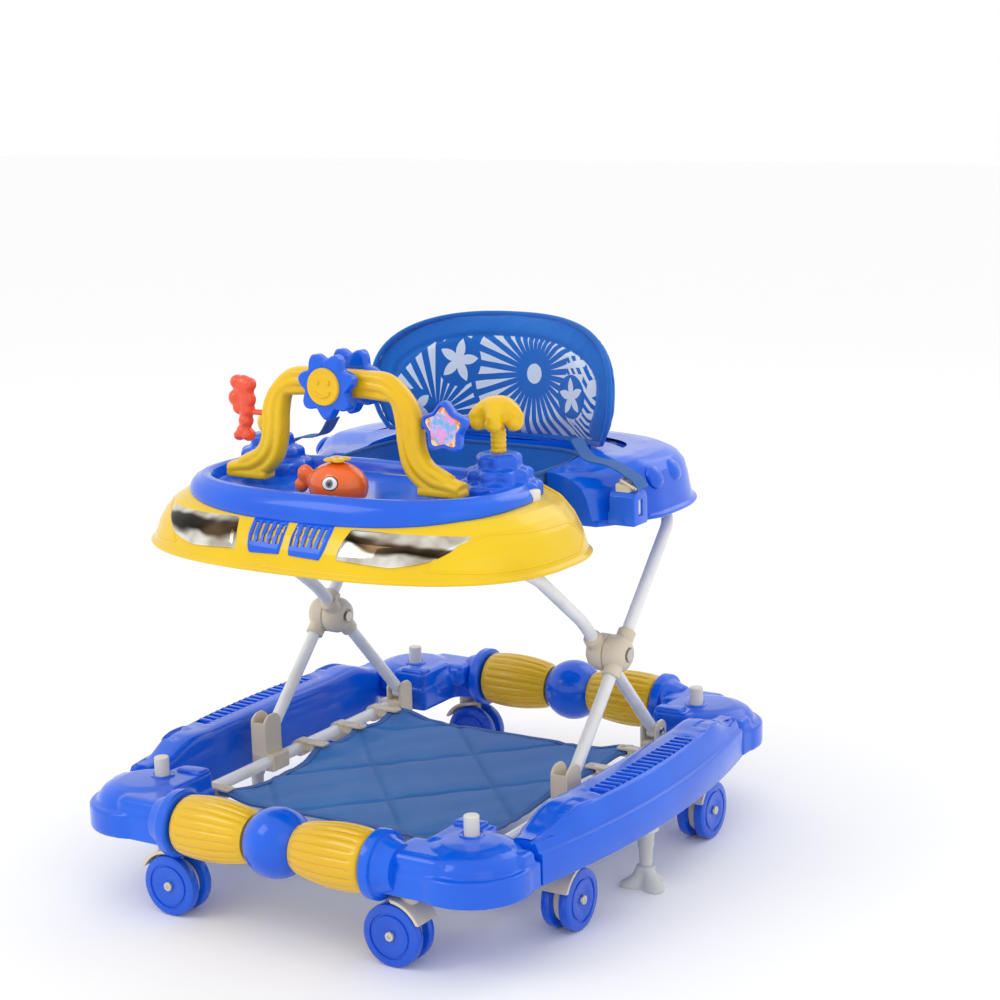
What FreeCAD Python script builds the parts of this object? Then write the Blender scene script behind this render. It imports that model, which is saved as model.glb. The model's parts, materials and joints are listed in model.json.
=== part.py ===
import FreeCAD, Part
import math
import os

# Baby walker. A blue moulded base on eight twin-wheel casters carries a scissor of two bent
# steel U tubes. The tubes hold up a yellow tray with toys and a blue armrest around the seat.
# Frame: the front is -Y, the right side is +X, +Z is up, and the floor is z = 0.
# The origin is on the floor under the middle of the base. All sizes are in millimetres.

# Base
ROLLER_Y = 304.0        # roller axle, from the middle
ROLLER_Z = 103.0
BARREL_X0, BARREL_X1 = 35.0, 119.0
BALL_R = 37.0
AXLE_R = 8.0
COLLAR_X0, COLLAR_X1 = 121.5, 134.0
COLLAR_R = 36.0
LOBE_X, LOBE_Y, LOBE_R = 208.0, 262.0, 62.0
BASE_LOW, CORNER_TOP = 79.0, 126.0
PEG_X, PEG_Y, PEG_R, PEG_TOP = 198.0, 247.0, 8.0, 148.0
RAIL_END_Y = 232.0
RAIL_LOW, RAIL_TOP = 79.0, 138.0
BASE_TUBE_X, BASE_TUBE_Z, BASE_TUBE_END = 188.0, 92.0, 224.0
WALL = 3.0
MAT_X, MAT_FRONT, MAT_REAR, MAT_Z, MAT_T = 164.0, -196.0, 160.0, 93.0, 4.0
CLIP_YS = (-188.0, -10.0, 66.0, 140.0)

# Scissor frame, in the plane of each side
TUBE_R, TUBE_WALL = 7.0, 1.2
PIVOT_Z = 112.0         # both lower pivots
REAR_Y = 178.0          # fixed lower pivot of the tube that rises to the front
FRONT_Y = -62.0         # sliding lower pivot of the tube that rises to the rear
HUB_Y, HUB_Z = 58.0, 236.0
UPPER_ARM = 195.0       # hub to the rear crossbar
A_X, B_X = 199.0, 177.0
BEND_R = 32.0
HUB_R, HUB_PIN_R = 21.0, 4.0
FOLD_DEG = 33.5
RUN = 0.05              # radial running clearance of pins

# Tray and armrest
TRAY_LOW, TRAY_TOP = 380.0, 437.0
TRAY_A, TRAY_MID, TRAY_FRONT, TRAY_REAR = 245.0, -120.0, 159.0, 130.0
REST_LOW, REST_TOP = 385.0, 446.0
REST_A, REST_MID, REST_REAR = 231.0, 132.0, 145.0
REST_FRONT = 24.0
HOLE_X, HOLE_FRONT, HOLE_REAR = 132.0, -42.0, 152.0
PLAY_A, PLAY_MID, PLAY_FRONT, PLAY_REAR = 190.0, -130.0, 118.0, 84.0
PLAY_TOP = 453.0
HILL_X, HILL_Y, HILL_TOP = 146.0, -95.0, 482.0

# Toys
ARCH_Y = -165.0
ARCH_TOP = 556.0
ARCH_R = 12.0
FLOWER_R = 33.0
STAR_X, STAR_Z = 128.0, 518.0
FISH_X, FISH_Y, FISH_Z = 0.0, -192.0, 446.0

# Seat back: a pad bent round an upright axis, leaned back a little
BACK_R, BACK_Y = 246.0, 172.0
BACK_HALF_T, BACK_H, BACK_LEAN = 12.0, 138.0, 5.0

# Casters: each swivel's place, and the direction in which its wheels trail
WHEEL_R, WHEEL_W = 33.0, 12.0
TRAIL = 14.0
STEM_R = 4.0
SWIVEL_CLEAR_R = 20.4    # the fork stays inside this radius above the wheels, clear of the roller's collar
FRONT_SWIVEL = (155.0, -297.0)
SIDE_SWIVEL_X, SIDE_SWIVEL_YS = 246.0, (-154.0, 150.0)
CASTERS = [
    ("front_right", FRONT_SWIVEL, (-1, 0)),
    ("front_left", (-FRONT_SWIVEL[0], FRONT_SWIVEL[1]), (1, 0)),
    ("rear_right", (FRONT_SWIVEL[0], -FRONT_SWIVEL[1]), (-1, 0)),
    ("rear_left", (-FRONT_SWIVEL[0], -FRONT_SWIVEL[1]), (1, 0)),
    ("side_right_front", (SIDE_SWIVEL_X, SIDE_SWIVEL_YS[0]), (0, 1)),
    ("side_right_rear", (SIDE_SWIVEL_X, SIDE_SWIVEL_YS[1]), (0, 1)),
    ("side_left_front", (-SIDE_SWIVEL_X, SIDE_SWIVEL_YS[0]), (0, 1)),
    ("side_left_rear", (-SIDE_SWIVEL_X, SIDE_SWIVEL_YS[1]), (0, 1))]

# Stoppers: feet that screw down to the floor, one in the middle of each rail
STOPPER = (262.0, -2.0)

ANGLE = math.atan2(HUB_Z - PIVOT_Z, REAR_Y - HUB_Y)
LOWER_ARM = math.hypot(HUB_Z - PIVOT_Z, REAR_Y - HUB_Y)
BAR_A_Y = HUB_Y + UPPER_ARM * math.cos(ANGLE)
BAR_A_Z = HUB_Z + UPPER_ARM * math.sin(ANGLE)
BEND_B = (18.0, 279.0)  # where the front-rising tube bends a little flatter
BAR_B = (-92.0, 360.0)

V = FreeCAD.Vector
X, Y, Z = V(1, 0, 0), V(0, 1, 0), V(0, 0, 1)
made = []


def box(x0, x1, y0, y1, z0, z1):
    return Part.makeBox(x1 - x0, y1 - y0, z1 - z0, V(x0, y0, z0))


def cyl(r, length, at, axis):
    return Part.makeCylinder(r, length, V(*at), axis)


def fuse(shapes):
    whole = shapes[0].multiFuse(shapes[1:]) if len(shapes) > 1 else shapes[0]
    return whole.removeSplitter()


def mirror_x(shape):
    return shape.mirror(V(0, 0, 0), X)


def mirror_y(shape):
    return shape.mirror(V(0, 0, 0), Y)


def save(name, *shapes):
    """Write one node; several shapes make a group of separate solids."""
    solids = [s for shape in shapes for s in shape.Solids]
    out = solids[0] if len(solids) == 1 else Part.makeCompound(solids)
    out.exportStep("parts/%s.step" % name)
    made.append((name, out))
    b = out.optimalBoundingBox(False, False)
    print("%-18s %2d solids valid=%s vol=%8.1f cm3  x %.0f..%.0f y %.0f..%.0f z %.1f..%.1f" % (
        name, len(solids), all(s.isValid() for s in solids), out.Volume / 1000,
        b.XMin, b.XMax, b.YMin, b.YMax, b.ZMin, b.ZMax))
    return out


def round_edges(shape, r, pick):
    """Fillet the edges for which pick(edge) is true, and keep the shape as it was if that fails."""
    edges = [e for e in shape.Edges if pick(e)]
    try:
        out = shape.makeFillet(r, edges)
        if out.isValid() and out.Volume > 0:
            return out
    except Exception:
        pass
    return shape


def rounded_path(points, radius):
    """A wire of straight runs joined by arcs that are tangent to both runs."""
    points = [V(*p) for p in points]
    radii = radius if isinstance(radius, (list, tuple)) else [radius] * (len(points) - 2)
    edges, last = [], points[0]
    for before, corner, after, r in zip(points, points[1:], points[2:], radii):
        a, b = (before - corner).normalize(), (after - corner).normalize()
        half = math.acos(max(-1, min(1, a.dot(b)))) / 2
        back = r / math.tan(half)
        start, end = corner + a * back, corner + b * back
        inward = (a + b).normalize()
        middle = corner + inward * (r / math.sin(half) - r)
        edges.append(Part.makeLine(last, start))
        edges.append(Part.Arc(start, middle, end).toShape())
        last = end
    edges.append(Part.makeLine(last, points[-1]))
    return Part.Wire(edges)


def sweep(points, bend, r):
    """A solid round bar along a path with rounded corners."""
    path = rounded_path(points, bend)
    start = path.Edges[0]
    p0, p1 = start.Vertexes[0].Point, start.Vertexes[-1].Point
    ring = Part.Wire([Part.makeCircle(r, p0, (p1 - p0).normalize())])
    return path.makePipeShell([ring], True, False)


def tube(points, bend, r, wall):
    return sweep(points, bend, r).cut(sweep(points, bend, r - wall))


def oval(a, mid, front, rear, n, inset, z, count=48):
    """A closed smooth outline: a superellipse whose front and rear halves differ in depth."""
    points = []
    for i in range(count):
        t = 2 * math.pi * i / count
        c, s = math.cos(t), math.sin(t)
        depth = (front if s < 0 else rear) - inset
        x = math.copysign(abs(c) ** (2 / n), c) * (a - inset)
        y = mid + math.copysign(abs(s) ** (2 / n), s) * depth
        points.append(V(x, y, z))
    curve = Part.BSplineCurve()
    curve.interpolate(points, PeriodicFlag=True)
    return Part.Wire([curve.toShape()])


def oval_body(plan, levels):
    """A solid through the plan outline at each (inset, height)."""
    wires = [oval(*plan, inset, z) for inset, z in levels]
    parts = []
    for low, high in zip(wires, wires[1:]):
        parts.append(Part.makeLoft([low, high], True, True))
    return fuse(parts)


# ---------------------------------------------------------------- base


def corner_form(wall):
    """The front right corner, or its inner space when wall is the skin's thickness."""
    low = BASE_LOW - (5 if wall else 0)
    y = -LOBE_Y
    lobe = cyl(LOBE_R - wall, CORNER_TOP - 8 - wall - low, (LOBE_X, y, low), Z)
    lobe = round_edges(lobe, 7 - wall * 0.8, lambda e: e.BoundBox.ZMin > low + 1)
    step = Part.makeCone(LOBE_R - 10 - wall, LOBE_R - 15 - wall, 8, V(LOBE_X, y, CORNER_TOP - 8 - wall), Z)
    arm_end = COLLAR_X1 - 2 if not wall else COLLAR_X1 + 3
    arm = box(arm_end, LOBE_X, -ROLLER_Y - 22 + wall, -ROLLER_Y + 26 - wall, low, ROLLER_Z + 24 - wall)
    arm = round_edges(arm, 10 - wall, lambda e: e.BoundBox.ZLength < 0.1 and e.BoundBox.XLength > 20
                      and e.BoundBox.ZMin > low + 1)
    block = box(158 + wall, LOBE_X, y + 2, -205 - wall, low, CORNER_TOP - wall)
    neck = box(LOBE_X - 1, LOBE_X + 57 - wall, y, -RAIL_END_Y + 4 + (6 if wall else 0), low,
               CORNER_TOP - 8 - wall)
    return fuse([lobe, step, arm, block, neck])


def make_corners():
    form = corner_form(0).cut(corner_form(WALL))
    collar = cyl(COLLAR_R, COLLAR_X1 - COLLAR_X0, (COLLAR_X0, -ROLLER_Y, ROLLER_Z), X)
    collar = round_edges(collar, 3, lambda e: e.BoundBox.XLength < 0.1)
    socket = cyl(AXLE_R + 4, 22, (COLLAR_X1 - 2, -ROLLER_Y, ROLLER_Z), X)
    bosses = [cyl(11, 44, (FRONT_SWIVEL[0], FRONT_SWIVEL[1], BASE_LOW), Z),
              box(158, 161, -262, -205, BASE_LOW, CORNER_TOP - 3),
              box(BASE_TUBE_X - 12, BASE_TUBE_X + 12, -RAIL_END_Y, -205, BASE_LOW, 104)]
    form = fuse([form, collar, socket] + bosses)
    form = form.cut(box(222, 300, -RAIL_END_Y + 4.1, -150, BASE_LOW - 1, RAIL_TOP + 2))
    cuts = [cyl(AXLE_R, 40, (COLLAR_X0 - 10, -ROLLER_Y, ROLLER_Z), X),
            cyl(STEM_R + RUN, 24, (FRONT_SWIVEL[0], FRONT_SWIVEL[1], BASE_LOW - 1), Z),
            cyl(TUBE_R, BASE_TUBE_END - 200, (BASE_TUBE_X, -BASE_TUBE_END, BASE_TUBE_Z), Y),
            cyl(4, 30, (PEG_X, -PEG_Y, CORNER_TOP - 20), Z)]
    for cut in cuts:
        form = form.cut(cut)
    form = form.Solids[0] if len(form.Solids) == 1 else max(form.Solids, key=lambda s: s.Volume)
    save("corner_front_right", form)
    save("corner_front_left", mirror_x(form))
    save("corner_rear_right", mirror_y(form))
    save("corner_rear_left", mirror_x(mirror_y(form)))


def rail_plan(inset, end, z):
    """The bowed outline of the right rail: an arc outside, a flatter arc inside, square ends."""
    x_in, x_mid_in = 224 + inset, 227 + inset
    x_out, x_mid_out = 267 - inset, 291 - inset
    points = [V(x_in, -end, z), V(x_in, end, z), V(x_out, end, z), V(x_out, -end, z)]
    return Part.Wire([
        Part.Arc(points[0], V(x_mid_in, 0, z), points[1]).toShape(),
        Part.makeLine(points[1], points[2]),
        Part.Arc(points[2], V(x_mid_out, 0, z), points[3]).toShape(),
        Part.makeLine(points[3], points[0])])


def rail_form(wall):
    low = RAIL_LOW - (5 if wall else 0)
    end = RAIL_END_Y - 4.3 - wall
    levels = [(wall, low), (wall, 122 - wall), (9 + wall, RAIL_TOP - wall)]
    wires = [rail_plan(inset, end, z) for inset, z in levels]
    return fuse([Part.makeLoft([a, b], True, True) for a, b in zip(wires, wires[1:])])


def make_rails():
    rail = rail_form(0).cut(rail_form(WALL))
    parts = [rail]
    for y in SIDE_SWIVEL_YS:
        parts.append(cyl(11, RAIL_TOP - WALL + 1 - RAIL_LOW, (SIDE_SWIVEL_X, y, RAIL_LOW), Z))
    for i in range(18):
        y = -95 + i * 190 / 17
        parts.append(box(248, 274, y - 2, y + 2, RAIL_TOP - 2, RAIL_TOP + 2.5))
    parts.append(box(STOPPER[0] - 15, STOPPER[0] + 15, STOPPER[1] - 15, STOPPER[1] + 15,
                     RAIL_TOP - 30, RAIL_TOP - 2))
    rail = fuse(parts)
    for y in SIDE_SWIVEL_YS:
        rail = rail.cut(cyl(STEM_R + RUN, 24, (SIDE_SWIVEL_X, y, RAIL_LOW - 1), Z))
    rail = rail.cut(cyl(9.5, 26, (STOPPER[0], STOPPER[1], RAIL_TOP - 31), Z))
    save("side_rail_right", rail)
    save("side_rail_left", mirror_x(rail))


def make_base_tubes():
    run = cyl(TUBE_R, 2 * BASE_TUBE_END - 2, (BASE_TUBE_X, -BASE_TUBE_END + 1, BASE_TUBE_Z), Y)
    run = run.cut(cyl(TUBE_R - TUBE_WALL, 2 * BASE_TUBE_END, (BASE_TUBE_X, -BASE_TUBE_END, BASE_TUBE_Z), Y))
    save("base_tubes", run, mirror_x(run))
    axle = cyl(AXLE_R, 2 * (COLLAR_X1 + 16), (-COLLAR_X1 - 16, -ROLLER_Y, ROLLER_Z), X)
    axle = axle.cut(cyl(AXLE_R - 1.5, 400, (-200, -ROLLER_Y, ROLLER_Z), X))
    save("roller_axles", axle, mirror_y(axle))


def make_rollers():
    """Each roller set is two fluted barrels that are keyed to the ball between them."""
    bore = AXLE_R + 0.3
    x0, x1 = BARREL_X0 - 4.0, BARREL_X1
    # the barrel swells towards its outer third and is narrowest at the ball
    profile = Part.BSplineCurve()
    profile.interpolate([V(x0, 0, 26), V(x0 + 22, 0, 31.5), V(x0 + 52, 0, 34), V(x1, 0, 32)])
    inner_end = Part.makeLine(V(x0, 0, bore), V(x0, 0, 26))
    outer_end = Part.makeLine(V(x1, 0, 32), V(x1, 0, bore))
    wire = Part.Wire([inner_end, profile.toShape(), outer_end, Part.makeLine(V(x1, 0, bore), V(x0, 0, bore))])
    barrel = Part.Face(wire).revolve(V(0, 0, 0), X, 360)
    inner = cyl(21, x1 - x0 - 8, (x0 + 4, 0, 0), X).cut(cyl(bore + 3, 200, (0, 0, 0), X))
    barrel = barrel.cut(inner)
    flutes = 20
    grooves = []
    for i in range(flutes):
        a = 2 * math.pi * i / flutes
        grooves.append(cyl(2.2, x1 - x0 - 14, (x0 + 8, 35.4 * math.cos(a), 35.4 * math.sin(a)), X))
    barrel = barrel.cut(grooves)
    ball = Part.makeSphere(BALL_R)
    ball = ball.cut(Part.makeSphere(BALL_R - 4)).common(box(-x0, x0, -50, 50, -50, 50))
    hub = cyl(bore + 3, 2 * x0, (-x0, 0, 0), X)
    web = cyl(26, 3, (-x0, 0, 0), X)
    web_2 = cyl(26, 3, (x0 - 3, 0, 0), X)
    ball = fuse([ball, hub, web.common(Part.makeSphere(BALL_R)), web_2.common(Part.makeSphere(BALL_R))])
    ball = ball.cut(cyl(bore, 200, (-100, 0, 0), X))
    for name, y in (("front", -ROLLER_Y), ("rear", ROLLER_Y)):
        place = V(0, y, ROLLER_Z)
        right = barrel.translated(place)
        save(name + "_barrels", right, mirror_x(right))
        save(name + "_ball", ball.translated(place))


def make_pegs():
    pegs = []
    for sx in (1, -1):
        for sy in (1, -1):
            cap = cyl(PEG_R, PEG_TOP - CORNER_TOP, (sx * PEG_X, sy * PEG_Y, CORNER_TOP), Z)
            cap = round_edges(cap, 1.5, lambda e: e.BoundBox.ZMin > PEG_TOP - 1)
            pegs.append(fuse([cap, cyl(4, 12, (sx * PEG_X, sy * PEG_Y, CORNER_TOP - 12), Z)]))
    save("corner_pegs", *pegs)


def make_mat():
    mat = box(-MAT_X, MAT_X, MAT_FRONT, MAT_REAR, MAT_Z, MAT_Z + MAT_T)
    save("floor_mat", round_edges(mat, 10, lambda e: e.BoundBox.ZLength > 1))
    clips = []
    for y in CLIP_YS:
        ring = cyl(TUBE_R + 2.5, 14, (BASE_TUBE_X, y - 7, BASE_TUBE_Z), Y)
        tongue = box(154, BASE_TUBE_X - 6, y - 7, y + 7, MAT_Z + MAT_T, MAT_Z + MAT_T + 2.5)
        lower = box(154, BASE_TUBE_X - 6, y - 7, y + 7, MAT_Z - 2.5, MAT_Z)
        spine = box(MAT_X + 0.5, BASE_TUBE_X - 6, y - 7, y + 7, MAT_Z - 2.5, MAT_Z + MAT_T + 2.5)
        clip = fuse([ring, tongue, lower, spine])
        clip = clip.cut(cyl(TUBE_R, 20, (BASE_TUBE_X, y - 10, BASE_TUBE_Z), Y))
        clips += [clip, mirror_x(clip)]
    save("mat_clips", *clips)


# ---------------------------------------------------------------- scissor frame


def tube_a_path():
    return [(A_X, FRONT_Y, PIVOT_Z), (A_X, BAR_A_Y, BAR_A_Z), (-A_X, BAR_A_Y, BAR_A_Z),
            (-A_X, FRONT_Y, PIVOT_Z)]


def tube_b_path():
    return [(B_X, REAR_Y, PIVOT_Z), (B_X, BEND_B[0], BEND_B[1]), (B_X, BAR_B[0], BAR_B[1]),
            (-B_X, BAR_B[0], BAR_B[1]), (-B_X, BEND_B[0], BEND_B[1]), (-B_X, REAR_Y, PIVOT_Z)]


def eye(x, y, z):
    """The flattened lower end of a tube: a short round boss across the pivot."""
    return cyl(8.6, 10, (x - 5, y, z), X)


def make_scissor():
    pin_hole = [
        cyl(3 + RUN, 500, (-250, FRONT_Y, PIVOT_Z), X),
        cyl(3 + RUN, 500, (-250, REAR_Y, PIVOT_Z), X),
    ]
    hub_hole = cyl(HUB_PIN_R, 500, (-250, HUB_Y, HUB_Z), X)
    loose_hub_hole = cyl(HUB_PIN_R + RUN, 500, (-250, HUB_Y, HUB_Z), X)
    rod_a = sweep(tube_a_path(), BEND_R, TUBE_R)
    rod_b = sweep(tube_b_path(), [160, BEND_R, BEND_R, 160], TUBE_R)
    a = tube(tube_a_path(), BEND_R, TUBE_R, TUBE_WALL)
    b = tube(tube_b_path(), [160, BEND_R, BEND_R, 160], TUBE_R, TUBE_WALL)
    for sign in (1, -1):
        a = a.fuse(eye(sign * A_X, FRONT_Y, PIVOT_Z))
        b = b.fuse(eye(sign * B_X, REAR_Y, PIVOT_Z))
    a = a.cut(pin_hole[0]).cut(hub_hole)
    b = b.cut(pin_hole[1]).cut(loose_hub_hole)
    save("rear_rising_tube", a)
    save("front_rising_tube", b)

    gap = 0.3
    split = (A_X + B_X) / 2
    outer = cyl(HUB_R, 212 - split - gap, (split + gap, HUB_Y, HUB_Z), X)
    outer = round_edges(outer, 5, lambda e: e.BoundBox.XLength < 0.1 and e.BoundBox.XMin > 211)
    outer = outer.cut(rod_a).cut(hub_hole)
    inner = cyl(HUB_R, split - gap - 164, (164, HUB_Y, HUB_Z), X)
    inner = round_edges(inner, 5, lambda e: e.BoundBox.XLength < 0.1 and e.BoundBox.XMax < 165)
    inner = inner.cut(rod_b).cut(loose_hub_hole)
    save("hub_outer_discs", outer, mirror_x(outer))
    save("hub_inner_discs", inner, mirror_x(inner))
    pin = cyl(HUB_PIN_R, 51, (162.5, HUB_Y, HUB_Z), X)
    head = cyl(7, 2, (212, HUB_Y, HUB_Z), X)
    tail = cyl(6, 2, (161.6, HUB_Y, HUB_Z), X)
    pin = fuse([pin, head, tail])
    save("hub_pins", pin, mirror_x(pin))


def hinge_block(plane_x, y, x0, x1, cheek_top, bore, half):
    """A block on the base tube with two cheeks that hold a scissor tube's lower end."""
    block = box(x0, x1, y - half, y + half, 81, 102.6)
    block = round_edges(block, 3, lambda e: e.BoundBox.YLength > 20 and e.BoundBox.ZMax < 82)
    parts = [block]
    for cheek in (plane_x - 10.4, plane_x + 7.4):
        plate = box(cheek, cheek + 3, y - half, y + half, 95, cheek_top)
        top = cheek_top - 1
        plate = round_edges(plate, half - 4.5, lambda e: e.BoundBox.XLength > 1 and e.BoundBox.ZMin > top)
        parts.append(plate)
    pin = cyl(3, 20.8, (plane_x - 10.4, y, PIVOT_Z), X)
    heads = [cyl(4.5, 1.5, (plane_x + 10.4, y, PIVOT_Z), X), cyl(4.5, 1.5, (plane_x - 11.9, y, PIVOT_Z), X)]
    whole = fuse(parts + [pin] + heads)
    return whole.cut(cyl(bore, 80, (BASE_TUBE_X, y - 40, BASE_TUBE_Z), Y))


def make_hinge_blocks():
    slider = hinge_block(A_X, FRONT_Y, 178, A_X + 10.4, 146, TUBE_R + 0.3, 15)
    save("front_sliders", slider, mirror_x(slider))
    fixed = hinge_block(B_X, REAR_Y, B_X - 10.4, 198, 124, TUBE_R, 13)
    save("rear_brackets", fixed, mirror_x(fixed))


# ---------------------------------------------------------------- tray and armrest


def tray_form(inset, low, top):
    plan = (TRAY_A, TRAY_MID, TRAY_FRONT, TRAY_REAR, 2.6)
    levels = [(inset, low), (4 + inset, 397), (20 + inset, top - 12), (38 + inset, top)]
    return oval_body(plan, levels)


def arm_form(inset, low, top):
    """The raised rear ends of the tray, one each side of the seat."""
    arm = box(HOLE_X - 3, 221 - inset, -66 + inset, REST_FRONT - 2, low, top - inset)

    def outer_top(edge):
        bounds = edge.BoundBox
        return bounds.YLength > 40 and bounds.ZMin > top - inset - 1 and bounds.XMin > 200

    arm = round_edges(arm, 24 - inset, outer_top)
    return fuse([arm, mirror_x(arm)])


def seat_hole(grow, low, high):
    hole = box(-HOLE_X - grow, HOLE_X + grow, HOLE_FRONT - grow, HOLE_REAR + grow, low, high)
    return round_edges(hole, 45 + grow, lambda e: e.BoundBox.ZLength > 50)


def make_tray():
    outer = fuse([tray_form(0, TRAY_LOW, TRAY_TOP), arm_form(0, TRAY_LOW + 8, REST_TOP + 2)])
    inner_arms = arm_form(WALL, TRAY_LOW - 1, REST_TOP + 2)
    inner = fuse([tray_form(WALL, TRAY_LOW - 1, TRAY_TOP - WALL), inner_arms])
    trim = box(-300, 300, REST_FRONT - 2, 60, 300, 500)
    inner_trim = box(-300, 300, REST_FRONT - 5, 60, 300, 500)
    inner = inner.cut(inner_trim).cut(seat_hole(3, 300, 500))
    shell = outer.cut(trim).cut(inner).cut(seat_hole(0, 300, 500))
    shell = max(shell.Solids, key=lambda s: s.Volume)
    save("tray_shell", shell)

    skin = tray_form(-1.6, TRAY_LOW, TRAY_TOP + 1.6)
    lamp_low, lamp_high = 400.0, 428.0
    lamp_outline = [V(60, -330, lamp_low - 1), V(66, -330, lamp_high), V(196, -330, lamp_high - 2),
                    V(176, -330, lamp_low + 6), V(120, -330, lamp_low - 3)]
    lamp = Part.Face(Part.makePolygon(lamp_outline + lamp_outline[:1])).extrude(V(0, 260, 0))
    lamp = lamp.common(skin).cut(outer)
    save("headlights", lamp, mirror_x(lamp))
    vent_outline = [V(5, -330, lamp_low - 4), V(3, -330, lamp_high + 2), V(50, -330, lamp_high + 1),
                    V(46, -330, lamp_low - 4)]
    vent = Part.Face(Part.makePolygon(vent_outline + vent_outline[:1])).extrude(V(0, 130, 0))
    vent = vent.common(tray_form(-2.2, TRAY_LOW, TRAY_TOP + 2.2)).cut(outer)
    for i in range(5):
        slot = box(10 + i * 7.4, 13.2 + i * 7.4, -330, -200, lamp_low + 7, lamp_high - 3)
        groove = slot.common(tray_form(-3, TRAY_LOW, TRAY_TOP + 3))
        vent = vent.cut(groove.cut(tray_form(-0.8, TRAY_LOW, TRAY_TOP + 0.8)))
    save("vent_grilles", vent, mirror_x(vent))


def rest_form(inset, low, top):
    plan = (REST_A, REST_MID, 160, REST_REAR, 2.7)
    levels = [(inset, low), (6 + inset, 425), (15 + inset, top - 6), (27 + inset, top)]
    return oval_body(plan, levels)


def make_armrest():
    front_cut = box(-300, 300, -100, REST_FRONT, 300, 500)
    inner_front = box(-300, 300, -100, REST_FRONT + WALL, 300, 500)
    inner = rest_form(WALL, REST_LOW - 1, REST_TOP - WALL).cut(seat_hole(3, 300, 500)).cut(inner_front)
    shell = rest_form(0, REST_LOW, REST_TOP).cut(front_cut).cut(inner).cut(seat_hole(0, 300, 500))
    anchor = box(214, 238, REST_FRONT, REST_FRONT + 30, 391, 424)
    anchor = round_edges(anchor, 3, lambda e: e.BoundBox.ZLength > 20 and e.BoundBox.XMin > 230)
    anchor = fuse([anchor, mirror_x(anchor)]).cut(inner)
    slot = box(230, 250, REST_FRONT + 10, REST_FRONT + 20, 398, 416)
    shell = fuse([shell, anchor]).cut(slot).cut(mirror_x(slot))
    save("rear_armrest", shell)
    blocks = []
    for x in (-118, 100):
        block = box(x, x + 18, BAR_A_Y - 14, BAR_A_Y + 14, BAR_A_Z - 12, REST_TOP - 1).cut(shell)
        block = max(block.Solids, key=lambda s: s.Volume)
        blocks.append(block.cut(cyl(TUBE_R + RUN, 400, (-200, BAR_A_Y, BAR_A_Z), X)))
    save("tray_pivots", *blocks)
    return shell


def folded(point, pivot, deg):
    a = math.radians(deg)
    y, z = point[0] - pivot[0], point[1] - pivot[1]
    return pivot[0] + y * math.cos(a) - z * math.sin(a), pivot[1] + y * math.sin(a) + z * math.cos(a)


def make_height_rack():
    """Two plates under the tray rest on the front crossbar, which slides forward under them to fold."""
    hub = folded((HUB_Y, HUB_Z), (REAR_Y, PIVOT_Z), FOLD_DEG)
    angle = ANGLE - math.radians(FOLD_DEG)
    bar_a = (hub[0] + UPPER_ARM * math.cos(angle), hub[1] + UPPER_ARM * math.sin(angle))
    shift = (bar_a[0] - BAR_A_Y, bar_a[1] - BAR_A_Z)
    bar_b = folded(BAR_B, (REAR_Y, PIVOT_Z), FOLD_DEG)
    end = (bar_b[0] - shift[0], bar_b[1] - shift[1])
    over = TUBE_R + 0.8
    plates = []
    for x in (-108, 102):
        rear_y, front_y, ceiling = BAR_B[0] + 18, end[0] - 14, TRAY_TOP - WALL
        outline = [V(x, rear_y, ceiling), V(x, rear_y, BAR_B[1] - 4), V(x, rear_y - 8, BAR_B[1] - 4),
                   V(x, rear_y - 8, BAR_B[1] + over), V(x, front_y, end[1] + over), V(x, front_y, ceiling)]
        plates.append(Part.Face(Part.makePolygon(outline + outline[:1])).extrude(V(6, 0, 0)))
    save("height_rack", *plates)


def make_play_tray():
    plan = (PLAY_A, PLAY_MID, PLAY_FRONT, PLAY_REAR, 2.5)
    z = TRAY_TOP
    body = oval_body(plan, [(5, z), (0, z + 7), (2, PLAY_TOP - 3), (6, PLAY_TOP)])
    well = oval_body(plan, [(20, z + 4), (14, PLAY_TOP + 1)])
    body = body.cut(well)
    # the hill: three steps narrowing to a flat top
    hill = []
    for low, high, r0, r1 in ((z + 1, 455, 43, 39), (455, 468, 33, 29), (468, HILL_TOP, 23, 16)):
        hill.append(Part.makeCone(r0, r1, high - low, V(HILL_X, HILL_Y, low), Z))
    hill = fuse(hill)
    seat_side = box(-300, 300, HOLE_FRONT - 2, 100, 400, 500)
    hill = hill.cut(seat_side)
    floor_ring = box(-300, 300, -300, 100, 300, z)
    body = fuse([body, hill, mirror_x(hill)]).cut(floor_ring)
    body = body.cut(arm_form(-0.2, TRAY_LOW + 8, REST_TOP + 2))
    body = body.cut(cyl(6 + 0.3, 34, (HILL_X, HILL_Y, HILL_TOP - 30), Z))
    body = body.cut(cyl(4.3, 20, (-HILL_X, HILL_Y, HILL_TOP - 19), Z))
    for x in (FISH_X - 16, FISH_X + 16):
        post = box(x - 3, x + 3, FISH_Y - 5, FISH_Y + 5, z + 3, z + 12)
        body = fuse([body, post])
    body = body.cut(cyl(2 + RUN, 60, (FISH_X - 30, FISH_Y, FISH_Z), X))
    save("play_tray", body)


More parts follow.
